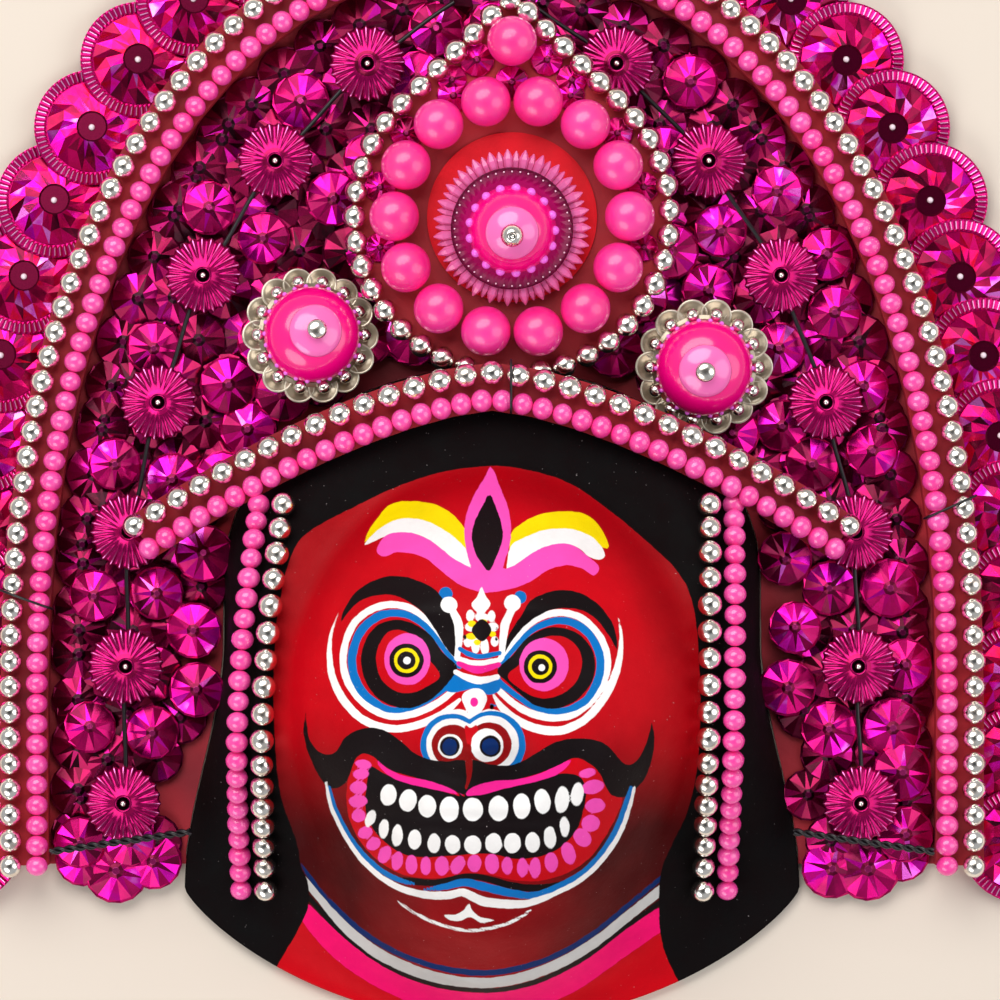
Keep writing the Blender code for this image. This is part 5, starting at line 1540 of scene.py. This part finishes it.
# The crest. Large pink beads ring a red felt disc on the teardrop card. In the middle stands a rosette:
# a wheel of clear pink points, a ribbed magenta disc, a domed acorn with a pale cap, and a silver bead.
LARGE_BEAD_RADIUS = 10 * MM
LARGE_BEAD_HOLE = 1.1 * MM
CREST_BEAD_COUNT = 14
FELT_RADIUS = 34 * MM
WHEEL_POINTS = 54
WHEEL_RADIUS = 31 * MM
POINT_LENGTH = 5.2 * MM
POINT_STAGGER = 0.9 * MM
CLEAR_RADIUS = 24.4 * MM
CLEAR_BASE = 6.3 * MM
CLEAR_TOP = 8.3 * MM
CLEAR_RIBS = 44
DOT_REACH = 22.9 * MM
DOT_RADIUS = 0.42 * MM
ACORN_RADIUS = 18.4 * MM
ACORN_HEIGHT = 20 * MM
CAP_RADIUS = 10.6 * MM
FINIAL_RADIUS = 4.6 * MM
FINIAL_HOLE = 1.4 * MM
BOSS_LEAN = math.radians(8)
BOSS_DROP = 4 * MM


def on_circle(reach, count, height):
    """Places at even turns round the middle, the first on the right."""
    turn = 2 * math.pi * np.arange(count) / count
    return np.column_stack(np.broadcast_arrays(reach * np.cos(turn), reach * np.sin(turn), height))


def moved(mesh, matrix):
    """Puts a mesh where its place in the mask is, so that its object stays at the origin."""
    mesh.transform(matrix)
    mesh.update()


def middle_of(node):
    low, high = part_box(node)
    return (Vector(low) + Vector(high)) / 2


def threaded_ball(name, radius, centre, material, hole):
    """A bead with a small hole through it across the mask, its rim eased."""
    shape = Shape(40)
    rows = []
    for row in range(1, 24):
        angle = math.pi * row / 24
        if radius * math.sin(angle) > hole:
            rows.append((radius * math.sin(angle), radius * math.cos(angle)))
    top = (hole * 0.7, rows[0][1] - 0.9 * hole)
    rows = [top, (hole * 0.85, rows[0][1] - 0.1 * hole)] + rows
    rows += [(reach, -height) for reach, height in rows[1::-1]]
    shape.close([shape.ring(reach, height) for reach, height in rows[::-1]])
    made = shape.made(name, material)
    made.data.shade_smooth()
    moved(made.data, Matrix.Translation(centre) @ Matrix.Rotation(math.pi / 2, 4, "Y"))
    return made


large_pink, tree = new_material(
    "bright pink plastic", roughness=0.42, specular=0.8, coat_weight=0.7, coat_roughness=0.1,
    subsurface_weight=0.25, subsurface_radius=(0.006, 0.002, 0.003), subsurface_scale=1.0,
)
dress(tree, base_color=mottled(tree, 25, 2, from_screen(255, 52, 156), from_screen(255, 22, 132)))

for index in range(CREST_BEAD_COUNT + 1):
    node = "large_bead_top" if index == CREST_BEAD_COUNT else f"large_bead_{index + 1:02d}"
    bead = threaded_ball(f"{node}_turned", LARGE_BEAD_RADIUS, middle_of(node), large_pink, LARGE_BEAD_HOLE)
    finish_piece(bead, "hot_pink_plastic", node)

# Small spangles show between the large beads, in the upper part of the card.
BETWEEN_REACH = 54
UPPER_PLACES = ((-14, 63), (14, 63), (-24, 55), (24, 55), (0, 54))
between = (np.arange(CREST_BEAD_COUNT) + 1) * 2 * math.pi / CREST_BEAD_COUNT + math.pi / 2
between = between[np.sin(between) > -0.3]
centres = BETWEEN_REACH * np.column_stack((np.cos(between), np.sin(between)))
centres = np.vstack((centres, UPPER_PLACES)) * MM + (CREST_X, CREST_Y)
sizes = np.random.default_rng(5).uniform(0.5, 0.6, len(centres))
base = CREST_FACE + 0.2 * MM
small = layer_of_spangles("crest_spangles", centres, base, 0.2 * MM, 0.01, 34, sizes)
finish_piece(small, "magenta_plastic")


def turned_shape(name, sides, material, profile):
    """A closed turned solid from the reaches and heights of its outline, top to foot."""
    shape = Shape(sides)
    shape.close([shape.ring(reach, height) for reach, height in profile[::-1]])
    return shape.made(name, material)


felt_red, tree = new_material("red felt", roughness=0.8, sheen_weight=0.2)
dress(tree, base_color=mottled(tree, 60, 2, from_screen(240, 8, 40), from_screen(214, 0, 34)))
add_bump(tree, noise(tree, 700, 4, 0.7), 0.6, 0.5 * MM)
low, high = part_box("crest_felt")
profile = ((FELT_RADIUS - MM, high[2]), (FELT_RADIUS, high[2] - 0.3 * MM), (FELT_RADIUS, low[2]))
felt = turned_shape("red_felt_disc", 160, felt_red, profile)
moved(felt.data, Matrix.Translation((CREST_X, CREST_Y, 0)))
finish_piece(felt, "red_card", "crest_felt")

WHEEL_BASE = CREST_FACE + (1.2 + 0.9) * MM + WHEEL_RADIUS * math.sin(BOSS_LEAN)
lean = Matrix.Rotation(BOSS_LEAN, 4, "X")
boss_frame = Matrix.Translation((CREST_X, CREST_Y - BOSS_DROP, WHEEL_BASE)) @ lean


def wheel_point():
    """One point of the wheel: a six-sided bar that swells outwards and closes to a tip."""
    shape = Shape(6)
    rings = []
    for along, wide, tall in (
        (-6.0, 0.9, 1.0), (-2.0, 1.7, 2.0), (1.2, 1.95, 2.4), (3.2, 1.2, 1.5), (4.8, 0.25, 0.3),
    ):
        turns = 2 * math.pi * np.arange(shape.sides) / shape.sides
        rings.append([
            shape.point((along * MM, wide * math.cos(turn) * MM, tall * math.sin(turn) * MM))
            for turn in turns
        ])
    shape.close(rings)
    return shape.made("wheel point")


clear_pink = plain(
    "clear pink plastic", 255, 120, 190, roughness=0.3, coat_weight=0.3, coat_roughness=0.08,
    transmission_weight=0.25,
)
odd = np.arange(WHEEL_POINTS) % 2
reach = WHEEL_RADIUS - POINT_LENGTH + POINT_STAGGER * (1 - odd)
places = on_circle(reach, WHEEL_POINTS, np.where(odd, 2.3, 4.1) * MM)
turns = np.zeros((WHEEL_POINTS, 3))
turns[:, 2] = 2 * math.pi * np.arange(WHEEL_POINTS) / WHEEL_POINTS
points = set_pieces("points", wheel_point(), clear_pink, places, turns, sway=0.03, seed=5)
profile = ((22.4 * MM, 6.0 * MM), (23.4 * MM, 5.2 * MM), (24.0 * MM, 2.6 * MM), (24.2 * MM, 0.2 * MM))
hub = turned_shape("hub", 96, clear_pink, profile)
hub.data.shade_smooth()
wheel = join_pieces("looped_wheel", [points, hub])
moved(wheel.data, boss_frame)
finish_piece(wheel, "hot_pink_plastic", "crest_wheel")

ribbed_magenta, tree = new_material(
    "clear magenta plastic", roughness=0.4, specular=0.2, transmission_weight=0.2
)
raised = attribute(tree, "ridge")
dress(tree, base_color=mix_colour(tree, raised, from_screen(196, 0, 112), from_screen(96, 0, 50)))
shape = Shape(2 * CLEAR_RIBS)
wave = 0.6 * MM * (np.arange(shape.sides) % 2)
shape.close([
    shape.ring(CLEAR_RADIUS, CLEAR_BASE, 1.0),
    shape.ring(CLEAR_RADIUS, CLEAR_TOP - 0.5 * MM, 1.0),
    shape.ring(24.0 * MM, CLEAR_TOP - 0.1 * MM, 1.0),
    shape.ring(23.2 * MM, CLEAR_TOP - 0.7 * MM + wave, 0.75),
    shape.ring(21.4 * MM, CLEAR_TOP - 0.9 * MM + wave, 0.45),
    shape.ring(19.4 * MM, CLEAR_TOP - 1.0 * MM, 0.1),
])
clear = shape.made("ribbed_clear_disc", ribbed_magenta)
# The ends of the ribs catch the light; a ring of small pale balls stands for it as a painted highlight.
rib_glint_pink = plain("pale pink plastic", 255, 205, 232, roughness=0.25)
places = on_circle(DOT_REACH, CLEAR_RIBS, CLEAR_TOP - 0.25 * MM)
dots = set_pieces("dots", ball(DOT_RADIUS, 8, 5), rib_glint_pink, places, smooth=True)
clear = join_pieces("ribbed_clear_disc", [clear, dots])
moved(clear.data, boss_frame)
finish_piece(clear, "clear_magenta", "crest_clear_disc")


def acorn_shape(name, radius, height, stud_radius, stud_rise, studs):
    """A dome ringed with small studs under a pale stepped cap, joined as one moulding."""
    shape = Shape(72)
    rings = [shape.ring(radius * 0.97, 0)]
    for turn in math.pi / 2 * np.arange(1, 15) / 15:
        rings.append(shape.ring(radius * math.cos(turn * 0.92), height * 0.86 * math.sin(turn)))
    shape.close(rings)
    foot = height * 0.74
    cap = (
        (0.92, foot), (1.0, foot + 0.5 * MM), (0.97, foot + 1.1 * MM), (0.8, height * 0.86),
        (0.55, height * 0.945), (0.3, height * 0.985), (0.12, height),
    )
    shape.close([shape.ring(CAP_RADIUS * share, level, 1.0) for share, level in cap])
    dome = shape.made(name, acorn_material)
    dome.data.shade_smooth()
    turn = 2 * math.pi * np.arange(studs) / studs
    places = on_circle(radius * math.cos(stud_rise * 0.92), studs, height * 0.86 * math.sin(stud_rise))
    knobs = set_pieces("knobs", ball(stud_radius, 12, 8), knob_material, places, smooth=True)
    return join_pieces(name, [dome, knobs])


# Hot pink on the dome and paler on the cap, which the ridge value marks.
acorn_material, tree = new_material(
    "acorn pink plastic", roughness=0.22, coat_weight=0.8, coat_roughness=0.06
)
share = map_range(tree, attribute(tree, "ridge"), 0.4, 0.6)
dress(tree, base_color=mix_colour(tree, share, from_screen(255, 0, 132), from_screen(255, 112, 190)))
knob_material = plain("lilac plastic", 244, 110, 236, roughness=0.25)
ACORN_BASE = CLEAR_TOP + 0.3 * MM
acorn = acorn_shape("studded_acorn", ACORN_RADIUS - 0.6 * MM, ACORN_HEIGHT, 1.9 * MM, 0.34, 17)
moved(acorn.data, boss_frame @ Matrix.Translation((0, 0, ACORN_BASE)))
finish_piece(acorn, "hot_pink_plastic", "crest_acorn")
finial = threaded_ball("silver_finial", FINIAL_RADIUS, (0, 0, 0), silver, FINIAL_HOLE)
upright = Matrix.Rotation(math.pi / 2, 4, "Y")
moved(finial.data, Matrix.Translation(middle_of("crest_finial")) @ lean @ upright)
finish_piece(finial, "silvered_bead", "crest_finial")

# The side bosses. Each is a ring of champagne coloured plastic petals with a silver ball set in every
# one, a studded pink dome with a pale cap, and a slit silver bead that covers the wire.
SIDE_BOSSES = {
    "left": (-73 * MM, 35.2 * MM, math.radians(-6), math.radians(9)),
    "right": (85 * MM, 23.1 * MM, math.radians(7), math.radians(0)),
}
DISH_BASE = 18.6 * MM
DISH_REACH = 28.4 * MM
PETALS = 14
PETAL_RADIUS = 6.3 * MM
PETAL_CENTRE = 21.4 * MM
SET_BALL_RADIUS = 2.8 * MM
SET_BALL_REACH = 21.6 * MM
DOME_RADIUS = 20.5 * MM
DOME_HEIGHT = 17 * MM
DOME_BASE = 4.3 * MM
STUD_RADIUS = 4.0 * MM
STUD_FLATNESS = 0.52


def champagne():
    made, tree = new_material(
        "champagne plastic", metallic=0.55, roughness=0.18, coat_weight=1.0, coat_roughness=0.04
    )
    body = mottled(tree, 200, 3, from_screen(166, 152, 130), from_screen(136, 120, 98))
    raised = attribute(tree, "ridge")
    dress(tree, base_color=mix_colour(tree, raised, body, from_screen(232, 222, 200)))
    return made


def petal_shape():
    """A round shallow cup with a bright rolled edge."""
    shape = Shape(28)
    rings = []
    for reach, height, ridge in (
        (0.9, 0.0, 0.0), (1.0, 0.5, 0.6), (1.0, 1.6, 1.0), (0.93, 2.0, 1.0), (0.86, 1.6, 0.1),
        (0.5, 1.1, 0.0), (0.1, 1.0, 0.0),
    ):
        rings.append(shape.ring(PETAL_RADIUS * reach, height * MM, ridge))
    shape.close(rings)
    return shape.made("petal")


pale = champagne()
for word, (x, y, lean_x, lean_y) in SIDE_BOSSES.items():
    lift = DISH_REACH * math.sin(math.hypot(lean_x, lean_y))
    lean = Matrix.Rotation(lean_y, 4, "Y") @ Matrix.Rotation(lean_x, 4, "X")
    frame_of_boss = Matrix.Translation((x, y, DISH_BASE + lift)) @ lean
    places = on_circle(PETAL_CENTRE, PETALS, 0.4 * MM * (np.arange(PETALS) % 2))
    petals = set_pieces("petals", petal_shape(), pale, places, sway=0.04, seed=9, smooth=True)
    profile = ((19.5 * MM, 3.4 * MM), (21 * MM, 2.6 * MM), (21 * MM, 0.3 * MM))
    dish = join_pieces(f"petal_dish_{word}", [petals, turned_shape("plate", 64, pale, profile)])
    moved(dish.data, frame_of_boss)
    finish_piece(dish, "champagne_plastic", f"boss_dish_{word}")
    places = on_circle(SET_BALL_REACH, PETALS, 3.6 * MM)
    set_ball = ball(SET_BALL_RADIUS, 14, 9)
    balls = set_pieces(f"petal_balls_{word}", set_ball, silver, places, smooth=True)
    moved(balls.data, frame_of_boss)
    finish_piece(balls, "silvered_bead")
    dome = acorn_shape(f"studded_dome_{word}", DOME_RADIUS - MM, DOME_HEIGHT, 1.0 * MM, 0.2, 26)
    moved(dome.data, frame_of_boss @ Matrix.Translation((0, 0, DOME_BASE)))
    finish_piece(dome, "hot_pink_plastic", f"boss_dome_{word}")
    stud = ball(STUD_RADIUS, 24, 16)
    stud.name = f"slit_stud_{word}"
    stud.data.materials.append(silver)
    stud.data.shade_smooth()
    place = Matrix.Translation(middle_of(f"boss_stud_{word}"))
    moved(stud.data, place @ lean @ Matrix.Diagonal((1, 1, STUD_FLATNESS, 1)))
    finish_piece(stud, "silvered_bead", f"boss_stud_{word}")

# Floor, light and camera: a pale table, a big soft lamp above one shoulder and a fill on the other
# side. The camera looks straight down, as the photograph does.
PHOTO_WIDTH = 400 * MM
SENSOR = 36.0


def lamp(name, place, size, power, tint):
    """A soft oval lamp that looks at the middle of the table."""
    data = bpy.data.lights.new(name, "AREA")
    data.shape = "ELLIPSE"
    data.size, data.size_y = size
    data.energy = power
    data.color = tint
    made = in_scene(name, data)
    made.location = place
    made.rotation_euler = (-Vector(place)).to_track_quat("-Z", "Y").to_euler()


pale_table = plain("pale table", 226, 214, 200, roughness=0.9)
corners = [(-3, -3, 0), (3, -3, 0), (3, 3, 0), (-3, 3, 0)]
floor = make_object("table", corners, [(0, 1, 2, 3)], pale_table)
lamp("key", (-0.45, 1.15, 1.6), (2.4, 1.5), 34, (1.0, 0.97, 0.93))
lamp("fill", (1.5, -0.1, 1.2), (1.5, 1.8), 11, (0.97, 0.98, 1.0))
lamp("front", (-0.9, -1.3, 1.2), (1.6, 1.1), 13, (1.0, 0.98, 0.96))
world = bpy.data.worlds.new("studio")
bpy.context.scene.world = world
world.use_nodes = True
# The room is pale round the table and dark above it, where the camera hangs.
room = world.node_tree
way = grow(room, "ShaderNodeTexCoord").outputs["Generated"]
upward = grow(room, "ShaderNodeSeparateXYZ", {"Vector": way}).outputs["Z"]
background = room.nodes["Background"]
feed(room, background.inputs["Color"], (0.94, 0.95, 1.0, 1))
feed(room, background.inputs["Strength"], map_range(room, upward, 0.8, 0.98, 0.42, 0.05))
camera_data = bpy.data.cameras.new("camera")
camera_data.sensor_width = SENSOR
camera_data.lens = SENSOR * (SEEN_FROM - SHARP_HEIGHT) / PHOTO_WIDTH
camera_data.clip_end = 20
camera = in_scene("camera", camera_data)
camera.location = (SEEN_X, SEEN_Y, SEEN_FROM)
bpy.context.scene.camera = camera
bpy.context.scene.view_settings.view_transform = "Standard"
